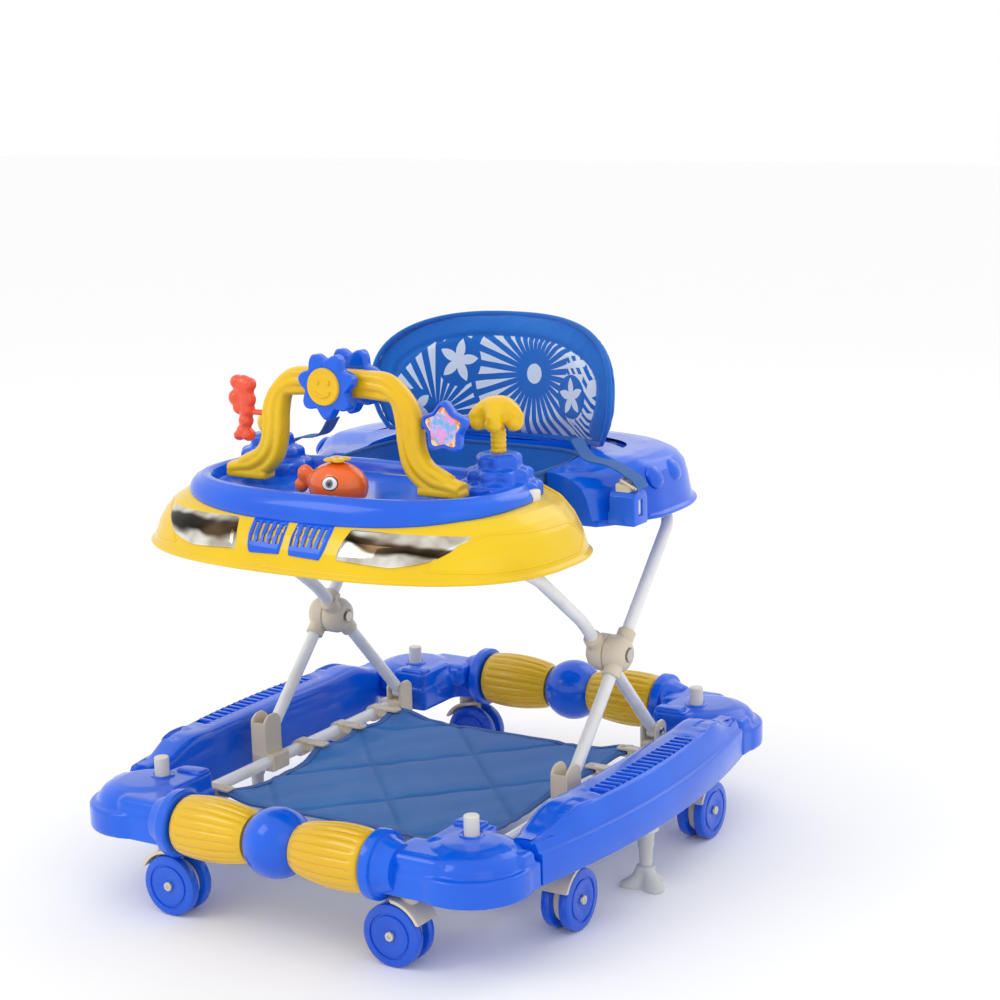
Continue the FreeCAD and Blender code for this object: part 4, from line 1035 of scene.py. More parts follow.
@dataclass
class FloorMat:
    """The quilted cloth mat, held between the base tubes by its clips."""

    cells: int = 92
    sag: float = 7.0
    stitch_depth: float = 2.0
    hem: float = 7.0

    def build(self, bench: Bench, looks: Finishes) -> None:
        """Stretch a cloth between the clips, hem it and sew its diamonds."""
        low, high = span("floor_mat")
        def flat(u: float, v: float) -> Vector:
            y = lerp(low.y, high.y, v)
            near = min(abs(y - c) for c in CLIP_YS)
            pull = 5.5 * ease(near, 4, 46)
            side = (u - 0.5) * 2
            end_pull = 5.0 * (1 - side * side) * (1 - ease(min(v, 1 - v), 0.0, 0.12))
            y += end_pull * (1 if v < 0.5 else -1)
            return Vector((side * (164 - pull), y, 95.4))

        mat = bench.grid("floor_mat_cloth", self.cells, self.cells, flat)
        bench.outward(mat)
        self.simulate(bench, mat)
        limit = 9.0
        for vertex in mat.data.vertices:
            spot = vertex.co / MM
            u, v = spot.x / 164, (spot.y - low.y) / (high.y - low.y)
            fall = max(-limit, min(1.5, spot.z - 95.4))
            diamond = min(abs(((v * 2 + u * 1.0) % 1.0) - 0.5), abs(((v * 2 - u * 1.0) % 1.0) - 0.5))
            seam = math.exp(-(diamond / 0.02) ** 2)
            puff = 1.8 * math.sqrt(min(1.0, diamond / 0.22))
            crease = 0.45 * math.sin(spot.x * 0.11 + spot.y * 0.05 + 2.2 * math.sin(spot.y * 0.021))
            crease += 0.3 * math.sin(spot.y * 0.07 - spot.x * 0.09 + 1.5 * math.sin(spot.x * 0.03))
            rim = ease(min(164 - abs(spot.x), spot.y - low.y, high.y - spot.y), 0, 16)
            vertex.co.z = (95.4 + fall + (puff + crease - self.stitch_depth * seam) * rim) * MM
        curl = [v for v in mat.data.vertices if v.co.y < (low.y + 16) * MM and v.co.x < -148 * MM]
        for vertex in curl:
            vertex.co.z += 2.4 * MM * ease(-vertex.co.x / MM, 148, 164)
        mat.data.update()
        bench.modify(mat, "SOLIDIFY", thickness=1.3 * MM, offset=0.0)
        bench.settle(mat, "base", looks.canvas, ["floor_mat"], 60)
        hem = self.edge(bench, mat, low, high)
        bench.settle(hem, "base", looks.webbing, degrees=60)

    def simulate(self, bench: Bench, mat: bpy.types.Object) -> None:
        """Let the cloth settle under its own weight, pinned at the clips."""
        pins = mat.vertex_groups.new(name="pins")
        for vertex in mat.data.vertices:
            x, y = vertex.co.x / MM, vertex.co.y / MM
            near = min(abs(y - c) for c in CLIP_YS)
            if abs(x) > 157 and near < 8:
                pins.add([vertex.index], 1.0, "REPLACE")
            elif y < -192 or y > 154:
                pins.add([vertex.index], 0.15 if abs(x) < 140 else 0.5, "REPLACE")
        bench.pick(mat)
        cloth = mat.modifiers.new("Cloth", "CLOTH")
        cloth.settings.quality = 6
        cloth.settings.mass = 0.3
        cloth.settings.tension_stiffness = 40
        cloth.settings.compression_stiffness = 25
        cloth.settings.bending_stiffness = 2.0
        cloth.settings.vertex_group_mass = "pins"
        cloth.collision_settings.use_collision = False
        scene = bpy.context.scene
        for frame in range(1, 19):
            scene.frame_set(frame)
        bpy.ops.object.modifier_apply(modifier=cloth.name)
        scene.frame_set(1)

    def edge(self, bench: Bench, mat: bpy.types.Object, low: Vector, high: Vector) -> bpy.types.Object:
        """A folded hem that follows the mat's edge."""
        rim = []
        cloud = np.array([tuple(v.co / MM) for v in mat.data.vertices])
        way = [i / 40 for i in range(40)]
        for u, v in ([(t, 0) for t in way] + [(1, t) for t in way] + [(1 - t, 1) for t in way]
                     + [(0, 1 - t) for t in way]):
            want = np.array([lerp(-164, 164, u), lerp(low.y, high.y, v)])
            near = np.linalg.norm(cloud[:, :2] - want, axis=1).argmin()
            rim.append(Vector(cloud[near]))
        rim = evenly(rim, 150)
        middle = Vector((0, (low.y + high.y) / 2, 0))
        rings = []
        for ring_offset, rise in ((0.4, -1.3), (1.1, 0.0), (0.4, 1.4), (-self.hem, 1.3), (-self.hem, -1.2)):
            ring = []
            for i, spot in enumerate(rim):
                along = (rim[(i + 2) % len(rim)] - rim[i - 2])
                out = Vector((along.y, -along.x, 0)).normalized()
                if out.dot(spot - middle) < 0:
                    out = -out
                ring.append(spot + out * ring_offset + Vector((0, 0, rise)))
            rings.append(ring)
        rings.append(rings[0])
        hem = bench.loft("floor_mat_hem", rings, caps=False)
        return hem


@dataclass
class FrameFittings:
    """Hinge housings, hubs and clips of the scissor frame, and the finish of its tubes."""

    hub_radius: float = 21.0

    def build(self, bench: Bench, looks: Finishes, nodes: dict[str, bpy.types.Object]) -> None:
        """Dress the tubes and model the fittings."""
        self.hubs(bench, looks)
        self.housings(bench, looks)
        self.clips(bench, looks)
        for name, finish in (("front_rising_tube", looks.tube), ("rear_rising_tube", looks.tube),
                             ("base_tubes", looks.tube), ("roller_axles", looks.steel),
                             ("hub_pins", looks.steel), ("corner_pegs", looks.cream),
                             ("tray_pivots", looks.beige), ("height_rack", looks.beige)):
            node = nodes[name]
            node.data.materials.clear()
            node.data.materials.append(finish)
            bench.smooth(node, 32)

    def hubs(self, bench: Bench, looks: Finishes) -> None:
        """A rounded disc on each tube at the scissor pivot, with stub sleeves along the tube."""
        high = span("hub_outer_discs")[1]
        middle = centre("hub_outer_discs")
        r = self.hub_radius
        split = TUBE_X
        for name, body, start, slope in (("hub_outer", "frame_a", split + 0.3, 1.0),
                                         ("hub_inner", "frame_b", split - 0.3, -1.0)):
            face = high.x if name == "hub_outer" else 164.0
            way = 1.0 if face > start else -1.0
            wide = abs(face - start)
            profile = [(4.2, 0), (r - 1.6, 0), (r - 0.4, 0.8), (r, 2.4), (r, wide * 0.48),
                       (r - 1.4, wide * 0.66),
                       (r - 4.2, wide * 0.85), (r - 8, wide * 0.97), (9.2, wide), (8.0, wide - 0.8),
                       (7.6, wide - 2.2), (4.2, wide - 2.4)]
            disc = bench.lathe(name, [(a, start + way * b) for a, b in profile], Facing.SIDE,
                               (0, middle.y, middle.z), 64)
            turn = math.atan2(124.0, 120.0)
            line = Vector((0, math.cos(turn) * slope, math.sin(turn)))
            at = Vector((199.0 if name == "hub_outer" else 177.0, middle.y, middle.z))
            stubs = []
            for way_along in (1, -1):
                path = [at + line * (way_along * d) for d in (12, 19, 24, 28.5, 29.5)]
                stubs.append(bench.tube("stub", path, lambda s: 10.2 if s < 0.8 else lerp(9.9, 8.4,
                                                                                          (s - 0.8) * 5),
                                        28))
            whole = bench.join(f"{name}_right", [disc, *stubs])
            node = "hub_outer_discs" if name == "hub_outer" else "hub_inner_discs"
            bench.settle_pair(whole, body, looks.beige, [node])

    def housings(self, bench: Bench, looks: Finishes) -> None:
        """The domed cheeks in which the tubes' lower ends turn."""
        for node, half, dome, plane in (("front_sliders", 15.0, 146.0, 199.0),
                                        ("rear_brackets", 13.0, 125.0, 177.0)):
            mid_y = centre(node).y
            x0, x1 = (178.0, plane + 10.4) if node == "front_sliders" else (plane - 10.4, 198.0)
            flat = rounded([(mid_y - half, 82), (mid_y + half, 82), (mid_y + half, dome - 6),
                            (mid_y + half * 0.4, dome), (mid_y - half * 0.4, dome),
                            (mid_y - half, dome - 6)],
                           [3, 3, 9, 8, 8, 9], 6)
            cheeks = [bench.prism("cheek", flat, x, x + 3.2, Facing.SIDE, bevel=1.2, segments=3)
                      for x in (plane - 10.6, plane + 7.4)]
            low_block = bench.prism("saddle", rounded([(x0, 81), (x1, 81), (x1, 101.5), (x0, 101.5)], 4),
                                    mid_y - half, mid_y + half, Facing.FRONT, bevel=1.5)
            screws = [bench.lathe("screw", [(2, 0), (5.4, 0), (5.6, 1.0), (4.6, 1.9), (2.4, 2.3),
                                            (1.6, 1.2),
                                            (0.6, 1.2)], Facing.SIDE, (plane + 10.4, mid_y, PIVOT_Z), 24)]
            parts = [low_block, *cheeks]
            if node == "front_sliders":
                front = mid_y - half
                web = [(front + 0.3, 84), (front + 3, 84), (front + 3, dome - 9), (front + 0.6, dome - 9)]
                parts.append(bench.prism("web", web, plane - 8, plane + 8, Facing.SIDE))
            whole = bench.join(f"{node}_right_housing", parts)
            body = "sliders" if node == "front_sliders" else "base"
            bench.settle(whole, body, looks.beige, [node])
            head = bench.join(f"{node}_right_screw", screws)
            bench.settle(head, body, looks.steel)
            for piece, finish, slot in ((whole, looks.beige, "beige_plastic"),
                                        (head, looks.steel, "bare_steel")):
                twin = bench.copy(piece, piece.name.replace("right", "left"), MIRROR_X)
                bench.settle(twin, body, finish)

    def clips(self, bench: Bench, looks: Finishes) -> None:
        """Clips that hold the mat to the base tubes: a split ring, a tongue and a stitched pad."""
        pieces = []
        for y in CLIP_YS:
            ring = bench.lathe("ring", [(7.1, -7.4), (9.2, -7.4), (10.0, -6.6), (10.2, -4), (10.2, 4),
                                        (10.0, 6.6),
                                        (9.2, 7.4), (7.1, 7.4)], Facing.FRONT, (TUBE_X, y, TUBE_Z), 36)
            tongue = bench.prism("tongue", rounded([(152, y - 7.5), (183, y - 7), (183, y + 7),
                                                    (152, y + 7.5)], 4),
                                 97.6, 100.6, Facing.UP, bevel=1.1, segments=3)
            under = bench.prism("under", rounded([(154, y - 7), (183, y - 7), (183, y + 7), (154, y + 7)],
                                                 4),
                                90.2, 92.8, Facing.UP, bevel=0.9)
            spine = bench.block("spine", (166, y - 6.4, 90.6), (182, y + 6.4, 100.2), 1.4)
            rivet = bench.lathe("rivet", [(3.6, 0), (3.6, 0.8), (2.8, 1.6), (1.0, 1.9)], Facing.UP,
                                (158, y, 100.4), 20)
            pieces += [ring, tongue, under, spine, rivet]
        whole = bench.join("mat_clips_right", pieces)
        bench.settle_pair(whole, "base", looks.beige, ["mat_clips"])


# ---------------------------------------------------------------- tray


@dataclass
class Tray:
    """The yellow tray with its lip, raised rear arms, lamps and grilles."""

    plan: Oval = Oval(245.0, -120.0, 159.0, 130.0, 2.6)
    rear: float = 22.0
    count: int = 200
    hole_x: float = 132.0
    hole_front: float = -42.0
    hole_rear: float = 152.0

    def profile(self) -> Plan:
        """Inset and height up the outside, from under the lip to the flat top."""
        return rounded([(5, 378.5), (-2.5, 378.5), (-3.5, 381.5), (1.5, 384.5), (3.2, 391), (6.5, 402),
                        (13.5, 414.5), (24, 426), (36, 434), (48, 437.5), (64, 438.5)],
                       [0, 1.5, 1.5, 2.5, 8, 12, 14, 14, 12, 10, 0], 4, closed=False)

    def skin(self) -> Plan:
        """The part of the profile above the lip."""
        return [p for p in self.profile() if p[1] >= 384.4]

    def rise(self, y: float, z: float) -> float:
        """How much higher the skin is at the raised rear arms."""
        return 11.0 * ease(y, -84, -34) * ease(z, 392, 434)

    def surface(self, x: float, z: float, proud: float) -> Vector:
        """A point of the front skin at x and z, standing proud of it."""
        inset = inset_at(self.skin(), z) - proud
        return Vector((x, self.plan.front_y(x, inset), z))

    def hole(self, bench: Bench, grow: float) -> bpy.types.Object:
        """A cutter for the seat's opening."""
        flat = rounded([(-self.hole_x - grow, self.hole_front - grow),
                        (self.hole_x + grow, self.hole_front - grow),
                        (self.hole_x + grow, self.hole_rear + grow),
                        (-self.hole_x - grow, self.hole_rear + grow)],
                       45 + grow, 8)
        return bench.prism("hole", flat, 300, 520, Facing.UP)

    def form(self, bench: Bench, name: str, inset: float, drop: float) -> bpy.types.Object:
        """The tray's outer form, or its inner space when inset and drop are the wall."""
        rings = []
        for k, (step, z) in enumerate(self.profile()):
            low = z - (14 if inset and k == 0 else 0)
            ring = self.plan.ring(step + inset, low - drop, self.count)
            rings.append([p + Vector((0, 0, self.rise(p.y, z))) for p in ring])
        return bench.loft(name, rings)

    def build(self, bench: Bench, looks: Finishes) -> None:
        """Model the shell, its ridges and everything set into its front."""
        shell = self.form(bench, "tray_shell_moulding", 0.0, 0.0)
        rear = bench.prism("rear", [(-300, self.rear), (300, self.rear), (300, 200), (-300, 200)], 300, 520,
                           Facing.UP)
        bench.cut(shell, self.hole(bench, 0.0), rear)
        space = self.form(bench, "space", 3.0, 3.0)
        wall = bench.prism("wall", [(-300, self.rear - 3), (300, self.rear - 3), (300, 200), (-300, 200)],
                           300,
                           520, Facing.UP)
        bench.cut(space, self.hole(bench, 3.0), wall)
        bench.cut(shell, space)
        shell = bench.join(shell.name, [shell, *self.ridges(bench)])
        bench.settle(shell, "tray", looks.yellow, ["tray_shell"], 30)
        self.lamps(bench, looks)
        self.grilles(bench, looks)

    def arm_path(self, y: float, start: float, end: float) -> list[Vector]:
        """A line over the skin at one y, from a low height to an inner x."""
        line = []
        for step, z in self.skin():
            half = self.plan.half_width - step
            depth = self.plan.rear - step
            share = min(1.0, abs(y - self.plan.middle) / max(depth, 1.0))
            x = half * (1 - share ** self.plan.power) ** (1 / self.plan.power)
            height = z + self.rise(y, z)
            if height > start and x > end:
                line.append(Vector((x, y, height)))
        return line

    def ridges(self, bench: Bench) -> list[bpy.types.Object]:
        """Nested ridges over the raised arms, and the bead round each side panel."""
        found = []
        for y, size, low in ((-52, 2.2, 384), (-34, 2.8, 384), (-19, 2.2, 384), (14, 4.2, 383)):
            line = self.arm_path(y, low, 142)
            if len(line) < 3:
                continue
            path = [Vector((p.x, p.y + 10 * ease(p.x, 232, 170) * 0.6 - 2,
                            p.z - size * 0.35)) for p in line]
            ridge = bench.tube("ridge", flowing(path, 26), size, 12)
            found += [ridge, bench.copy(ridge, "ridge", MIRROR_X)]
        line = rounded([(0.10, 392), (0.30, 389), (0.72, 389), (0.80, 402), (0.72, 417), (0.34, 423),
                        (0.16, 410)],
                       [0.04] * 7, 4)
        path = []
        for share, z in evenly([(a * 200, b) for a, b in line], 72):
            turn = lerp(-1.15, 0.62, share / 200)
            inset = inset_at(self.skin(), z) + 0.9
            x, y = self.plan.at(turn, inset)
            path.append((x, y, z + self.rise(y, z)))
        path.append(path[0])
        bead = bench.tube("bead", path, 1.7, 8)
        return [*found, bead, bench.copy(bead, "bead", MIRROR_X)]

    def patch(self, bench: Bench, name: str, left: Sequence[Sequence[float]],
              right: Sequence[Sequence[float]],
              proud: float, crown: float, cells: tuple[int, int]) -> bpy.types.Object:
        """A panel draped on the front skin between two rising edges.

        Args:
            name: The panel's name.
            left: Points up the left edge, as x and z.
            right: Points up the right edge.
            proud: How far the panel stands out.
            crown: How much further its middle stands out.
            cells: Cells across and up.

        Returns:
            The draped sheet, not yet thick.
        """
        a, b = flowing(left, 21), flowing(right, 21)

        def spot(u: float, v: float) -> Vector:
            k = v * 20
            low = min(19, int(k))
            start, end = a[low].lerp(a[low + 1], k - low), b[low].lerp(b[low + 1], k - low)
            flat = start.lerp(end, u)
            rim = min(u, 1 - u) * 9, min(v, 1 - v) * 6
            edge = ease(min(rim), 0, 0.75)
            return self.surface(flat.x, flat.y, lerp(-1.6, proud,
                                                     edge) + crown * 16 * u * (1 - u) * v * (1 - v))

        return bench.grid(name, cells[0], cells[1], spot)

    def lamps(self, bench: Bench, looks: Finishes) -> None:
        """The chromed lamp shields."""
        lamp = self.patch(bench, "headlight_right", [(62, 396), (60, 400), (61, 412), (66, 428)],
                          [(118, 393), (158, 399), (182, 411), (197, 426)], 1.9, 1.3, (44, 22))
        bench.outward(lamp)
        bench.modify(lamp, "SOLIDIFY", thickness=1.2 * MM, offset=-1.0)
        twin = bench.copy(lamp, "headlight_left", MIRROR_X)
        bench.settle(lamp, "tray", looks.lamp, ["headlights"], 60)
        bench.settle(twin, "tray", looks.lamp, degrees=60)

    def grilles(self, bench: Bench, looks: Finishes) -> None:
        """The blue grilles, with five curved slots each that show the yellow behind."""
        outline = [(5, 395.5), (3.2, 404), (2.6, 416), (4, 430)], [(44, 394), (49, 404), (51.5, 416),
                                                                   (52, 429)]
        grille = self.patch(bench, "vent_grille_right", outline[0], outline[1], 2.4, 0.3, (44, 26))
        columns, pitch, slot = 44, 8, 4

        def open_cell(u: float, v: float) -> bool:
            bent = u * columns + 3.2 * (v - 0.5)
            place = bent - 3.5
            return 0 <= place < pitch * 4 + slot and place % pitch < slot and 0.34 < v < 0.86

        picked = set()
        for face in grille.data.polygons:
            mid = face.center / MM
            v = (mid.z - 395.5) / 34.5
            left, right = lerp(4.0, 3.0, v), lerp(45.0, 52.0, v)
            if open_cell((mid.x - left) / (right - left), v):
                picked.add((round(mid.x, 3), round(mid.z, 3)))
        bench.delete_faces(grille, lambda c: (round(c.x, 3), round(c.z, 3)) in picked)
        bench.outward(grille)
        bench.modify(grille, "SOLIDIFY", thickness=2.0 * MM, offset=-1.0)
        twin = bench.copy(grille, "vent_grille_left", MIRROR_X)
        bench.settle(grille, "tray", looks.blue, ["vent_grilles"], 40)
        bench.settle(twin, "tray", looks.blue, degrees=40)


@dataclass
class PlayTray:
    """The blue insert with its wide rim, its well and two wave-edged hills."""

    plan: Oval = Oval(190.0, -130.0, 118.0, 84.0, 2.5)
    hill_x: float = 146.0
    hill_y: float = -95.0

    def hill(self, bench: Bench, side: float) -> bpy.types.Object:
        """Three stacked tiers with scalloped skirts."""
        tiers = ((43, 437, 455, 2.3, 11), (33.5, 453, 468, 2.4, 9), (23, 467, 482.5, 1.6, 7))
        parts = []
        for k, (radius, low, top, wave, lobes) in enumerate(tiers):
            rings = []
            for share, height in ((1.0, low), (1.0, top - 6.5), (0.985, top - 4.2), (0.93, top - 1.9),
                                  (0.84, top - 0.5), (0.7, top + 0.4), (0.4, top + 0.8)):
                flat = [(x * share, y * share) for x, y in circle(radius, 96, wave, lobes, 0.7 * k)]
                rings.append(Facing.UP.place(flat, height, (side * self.hill_x, self.hill_y, 0)))
            parts.append(bench.loft("tier", rings))
        return bench.fused("hill", parts, 1.5, 4)

    def build(self, bench: Bench, looks: Finishes, tray: Tray) -> None:
        """Model the insert and the two catches at its ends."""
        skin = tray.skin()
        rings = []
        for inset, share in ((-4.5, -0.06), (-6.2, 0.0), (-7.2, 0.1), (-7.4, 0.24), (-6.4, 0.42),
                             (-4.2, 0.6),
                             (-1.2, 0.76)):
            ring = []
            for spot in self.plan.ring(inset, 0, 160):
                low = z_at(skin, tray.plan.inset_of(spot.x, spot.y))
                ring.append(Vector((spot.x, spot.y, max(425.8, lerp(low - 0.6, 454, share)))))
            rings.append(ring)
        steps = rounded([(1.4, 450.6), (5, 454), (10.5, 454.3), (14.5, 452.5), (17.5, 447), (20, 441.5),
                         (30, 441)], [0, 4, 4, 3, 3, 3, 0], 4, closed=False)
        rings += [self.plan.ring(a, z, 160) for a, z in steps]
        body = bench.loft("play_tray_insert", rings)
        hills = [self.hill(bench, 1), self.hill(bench, -1)]
        whole = bench.join(body.name, [body, *hills])
        bench.settle(whole, "tray", looks.blue, ["play_tray"], 45)
        for name, sign in (("right", 1), ("left", -1)):
            catch = bench.block(f"play_tray_catch_{name}", (sign * 192 - 5, -112, 436),
                                (sign * 192 + 5, -96, 449),
                                3.0)
            bench.settle(catch, "tray", looks.cream)


@dataclass
class Armrest:
    """The blue armrest round the rear: a low saddle at each side that swells to a rounded rear."""

    plan: Oval = Oval(231.0, 132.0, 160.0, 145.0, 2.7)
    front: float = 24.0
    count: int = 220

    def profile(self) -> Plan:
        """Inset and height up the outside."""
        return rounded([(6, 384), (-3.5, 384), (-4.5, 387.5), (0.5, 390), (2.5, 400), (5, 415), (9, 430),
                        (17, 440), (29, 446), (46, 447.5), (70, 447.5)],
                       [0, 1.5, 1.5, 2.5, 8, 10, 10, 12, 14, 12, 0], 4, closed=False)

    def swell(self, y: float, z: float) -> float:
        """The change in height: down at the saddle, level at the rear."""
        return -7.0 * (1 - ease(y, 56, 110)) * ease(z, 400, 440)

    def form(self, bench: Bench, name: str, inset: float, drop: float) -> bpy.types.Object:
        """The outer form, or the inner space when inset and drop are the wall."""
        rings = []
        for k, (step, z) in enumerate(self.profile()):
            low = z - (14 if inset and k == 0 else 0)
            ring = self.plan.ring(step + inset, low - drop, self.count)
            shaped = []
            for p in ring:
                waist = 9.0 * (1 - ease(p.y, 58, 104)) * (1 if p.x > 0 else -1) * ease(abs(p.x), 120, 200)
                shaped.append(Vector((p.x - waist, p.y, p.z + self.swell(p.y, z))))
            rings.append(shaped)
        return bench.loft(name, rings)

    def build(self, bench: Bench, looks: Finishes, tray: Tray) -> None:
        """Model the shell with its bosses and the anchor boxes of the waist belt."""
        shell = self.form(bench, "rear_armrest_moulding", 0.0, 0.0)
        front = bench.prism("front", [(-300, -200), (300, -200), (300, self.front), (-300, self.front)],
                            300, 520,
                            Facing.UP)
        bench.cut(shell, tray.hole(bench, 0.0), front)
        space = self.form(bench, "space", 3.0, 3.0)
        wall = bench.prism("wall", [(-300, -200), (300, -200), (300, self.front + 3),
                                    (-300, self.front + 3)], 300,
                           520, Facing.UP)
        bench.cut(space, tray.hole(bench, 3.0), wall)
        bench.cut(shell, space)
        parts = [shell]
        for x, y, turn in ((223, 104, 0.0), (221, 150, 0.12)):
            out = Vector((math.cos(turn), math.sin(turn), 0.55)).normalized()
            at = Vector((x, y, 428)) - out * 3.0
            rings = []
            across = out.orthogonal().normalized()
            other = out.cross(across)
            for radius, height in ((13.5, 0), (12.8, 3.0), (11, 5.2), (7.5, 7.0), (3.0, 7.8)):
                rings.append([at + out * height + across * (radius * math.cos(FULL_TURN * k / 36))
                              + other * (radius * math.sin(FULL_TURN * k / 36)) for k in range(36)])
            boss = bench.loft("boss", rings)
            parts += [boss, bench.copy(boss, "boss", MIRROR_X)]
        anchor = bench.prism("anchor", rounded([(24.5, 388), (55, 388), (55, 417), (50, 424.5), (29, 424.5),
                                                (24.5, 419)], [2, 2, 4, 4, 4, 3], 4), 208, 238.5,
                             Facing.SIDE,
                             bevel=1.4, segments=3)
        slot = bench.prism("slot", rounded([(34.5, 398), (43.5, 398), (43.5, 416), (34.5, 416)], 1.0),
                           233, 250,
                           Facing.SIDE)
        bench.cut(anchor, slot)
        lip = bench.block("lip", (206, 25, 389), (232, 29, 402), 1.2)
        extra = [anchor, lip]
        parts += extra + [bench.copy(piece, "left", MIRROR_X) for piece in extra]
        whole = bench.join(shell.name, parts)
        bench.settle(whole, "tray", looks.blue, ["rear_armrest"], 32)
        for name, place in (("right", None), ("left", MIRROR_X)):
            tongue = bench.block("tongue", (232.5, 34.8, 398.4), (236.4, 43.2, 415.6), 0.8)
            piece = tongue if place is None else bench.copy(tongue, "tongue_left", place)
            if place is not None:
                bpy.data.objects.remove(tongue)
            piece.name = f"belt_tongue_{name}"
            bench.settle(piece, "tray", looks.cream)


# ---------------------------------------------------------------- seat


@dataclass
class SeatBack:
    """The padded, printed back of the seat: a curved slab that leans a little."""

    radius: float = 246.0
    axis_y: float = -74.0
    foot_y: float = 172.0
    foot_z: float = 448.6
    half_thick: float = 11.0
    lean: float = math.radians(5)
    swell: float = 5.0

    def outline(self, count: int) -> list[Vector]:
        """The pad's outline, laid flat: arc length and height."""
        arch = []
        for degrees in range(0, 181, 3):
            c, s = math.cos(math.radians(degrees)), math.sin(math.radians(degrees))
            arch.append((math.copysign(abs(c) ** 0.82, c) * 172, 52 + 86 * s ** 0.82))
        return evenly([(-152, 0), (152, 0), (163, 16), (170, 34), *arch, (-170, 34), (-163, 16)], count)

    def place(self, arc: float, radius: float, height: float) -> Vector:
        """The point at an arc length, a distance from the axis and a height."""
        turn = arc / self.radius
        dy = self.axis_y + radius * math.cos(turn) - self.foot_y
        return Vector((radius * math.sin(turn),
                       self.foot_y + dy * math.cos(self.lean) + height * math.sin(self.lean),
                       self.foot_z - dy * math.sin(self.lean) + height * math.cos(self.lean)))

    def chart(self, spots: np.ndarray) -> np.ndarray:
        """Arc length and height of points in space."""
        y, z = spots[:, 1] - self.foot_y, spots[:, 2] - self.foot_z
        c, s = math.cos(self.lean), math.sin(self.lean)
        dy, height = y * c - z * s, y * s + z * c
        turn = np.arctan2(spots[:, 0], dy + self.foot_y - self.axis_y)
        return np.stack([turn * self.radius, height], 1)

    def build(self, bench: Bench, looks: Finishes) -> None:
        """Model the slab, blow it up as cloth, and sew its seams."""
        outline = self.outline(150)
        heart = Vector((0, 62))
        shares = (0.12, 0.34, 0.55, 0.72, 0.84, 0.92, 0.97, 1.0)
        rings = []
        for side, order in ((-1, shares), (1, tuple(reversed(shares))[1:])):
            for share in order:
                depth = self.half_thick * math.sqrt(max(0.0, 1 - share ** 5)) * side
                rings.append([self.place(*self.between(heart, p, share, depth)) for p in outline])
        pad = bench.loft("seat_back_pad", rings)
        bench.modify(pad, "REMESH", mode="VOXEL", voxel_size=5 * MM)
        self.inflate(pad)
        bench.modify(pad, "SUBSURF", levels=1)
        spots = np.array([tuple(v.co) for v in pad.data.vertices]) / MM
        flat = self.chart(spots)
        rim = np.array([tuple(p) for p in outline if p.y > 3])
        border = np.concatenate([np.linalg.norm(part[:, None] - rim[None], axis=2).min(1)
                                 for part in np.array_split(flat, 40)])
        for vertex, depth in zip(pad.data.vertices, border):
            groove = 2.6 * math.exp(-((depth - 25) / 2.6) ** 2)
            pucker = (0.35 * math.sin(vertex.co.x * 520 + vertex.co.z * 330)
                      * math.exp(-((depth - 25) / 9) ** 2))
            vertex.co -= vertex.normal * ((groove + pucker) * MM)
        layer = pad.data.uv_layers.new(name="Print")
        for loop in pad.data.loops:
            layer.data[loop.index].uv = flat[loop.vertex_index] / 100
        edge = pad.data.attributes.new("border", "FLOAT", "POINT")
        edge.data.foreach_set("value", (border * MM).astype(np.float32))
        bench.settle(pad, "tray", looks.print, ["seat_back"], 60)
        line = [self.place(p.x, self.radius, p.y) for p in outline]
        piping = bench.tube("seat_back_piping", [*line, line[0]], 3.0, 12)
        bench.settle(piping, "tray", looks.plain, degrees=60)

    def between(self, heart: Vector, rim: Vector, share: float, depth: float) -> tuple[float, float, float]:
        """Arc length, radius and height part of the way from the middle to the rim."""
        spot = heart.lerp(rim, share)
        return spot.x, self.radius + depth, spot.y

    def inflate(self, pad: bpy.types.Object) -> None:
        """Fill the pad with a cloth under pressure, without letting any point go far."""
        before = np.array([tuple(v.co) for v in pad.data.vertices])
        cloth = pad.modifiers.new("Cloth", "CLOTH")
        cloth.settings.use_pressure = True
        cloth.settings.uniform_pressure_force = 4.0
        cloth.settings.quality = 4
        cloth.settings.tension_stiffness = 20
        cloth.settings.bending_stiffness = 0.6
        cloth.settings.effector_weights.gravity = 0.0
        cloth.collision_settings.use_collision = False
        scene = bpy.context.scene
        for frame in range(1, 15):
            scene.frame_set(frame)
        bpy.context.view_layer.objects.active = pad
        bpy.ops.object.modifier_apply(modifier=cloth.name)
        scene.frame_set(1)
        after = np.array([tuple(v.co) for v in pad.data.vertices])
        out = before * (1, 1, 0) - np.array([0, self.axis_y * MM, 0])
        out /= np.linalg.norm(out, axis=1)[:, None]
        move = out * ((after - before) * out).sum(1)[:, None]
        reach = np.linalg.norm(move, axis=1)[:, None]
        most = self.swell * MM
        move *= np.minimum(1.0, most / np.maximum(reach, 1e-9))
        pad.data.vertices.foreach_set("co", (before + move).ravel())
        pad.data.update()


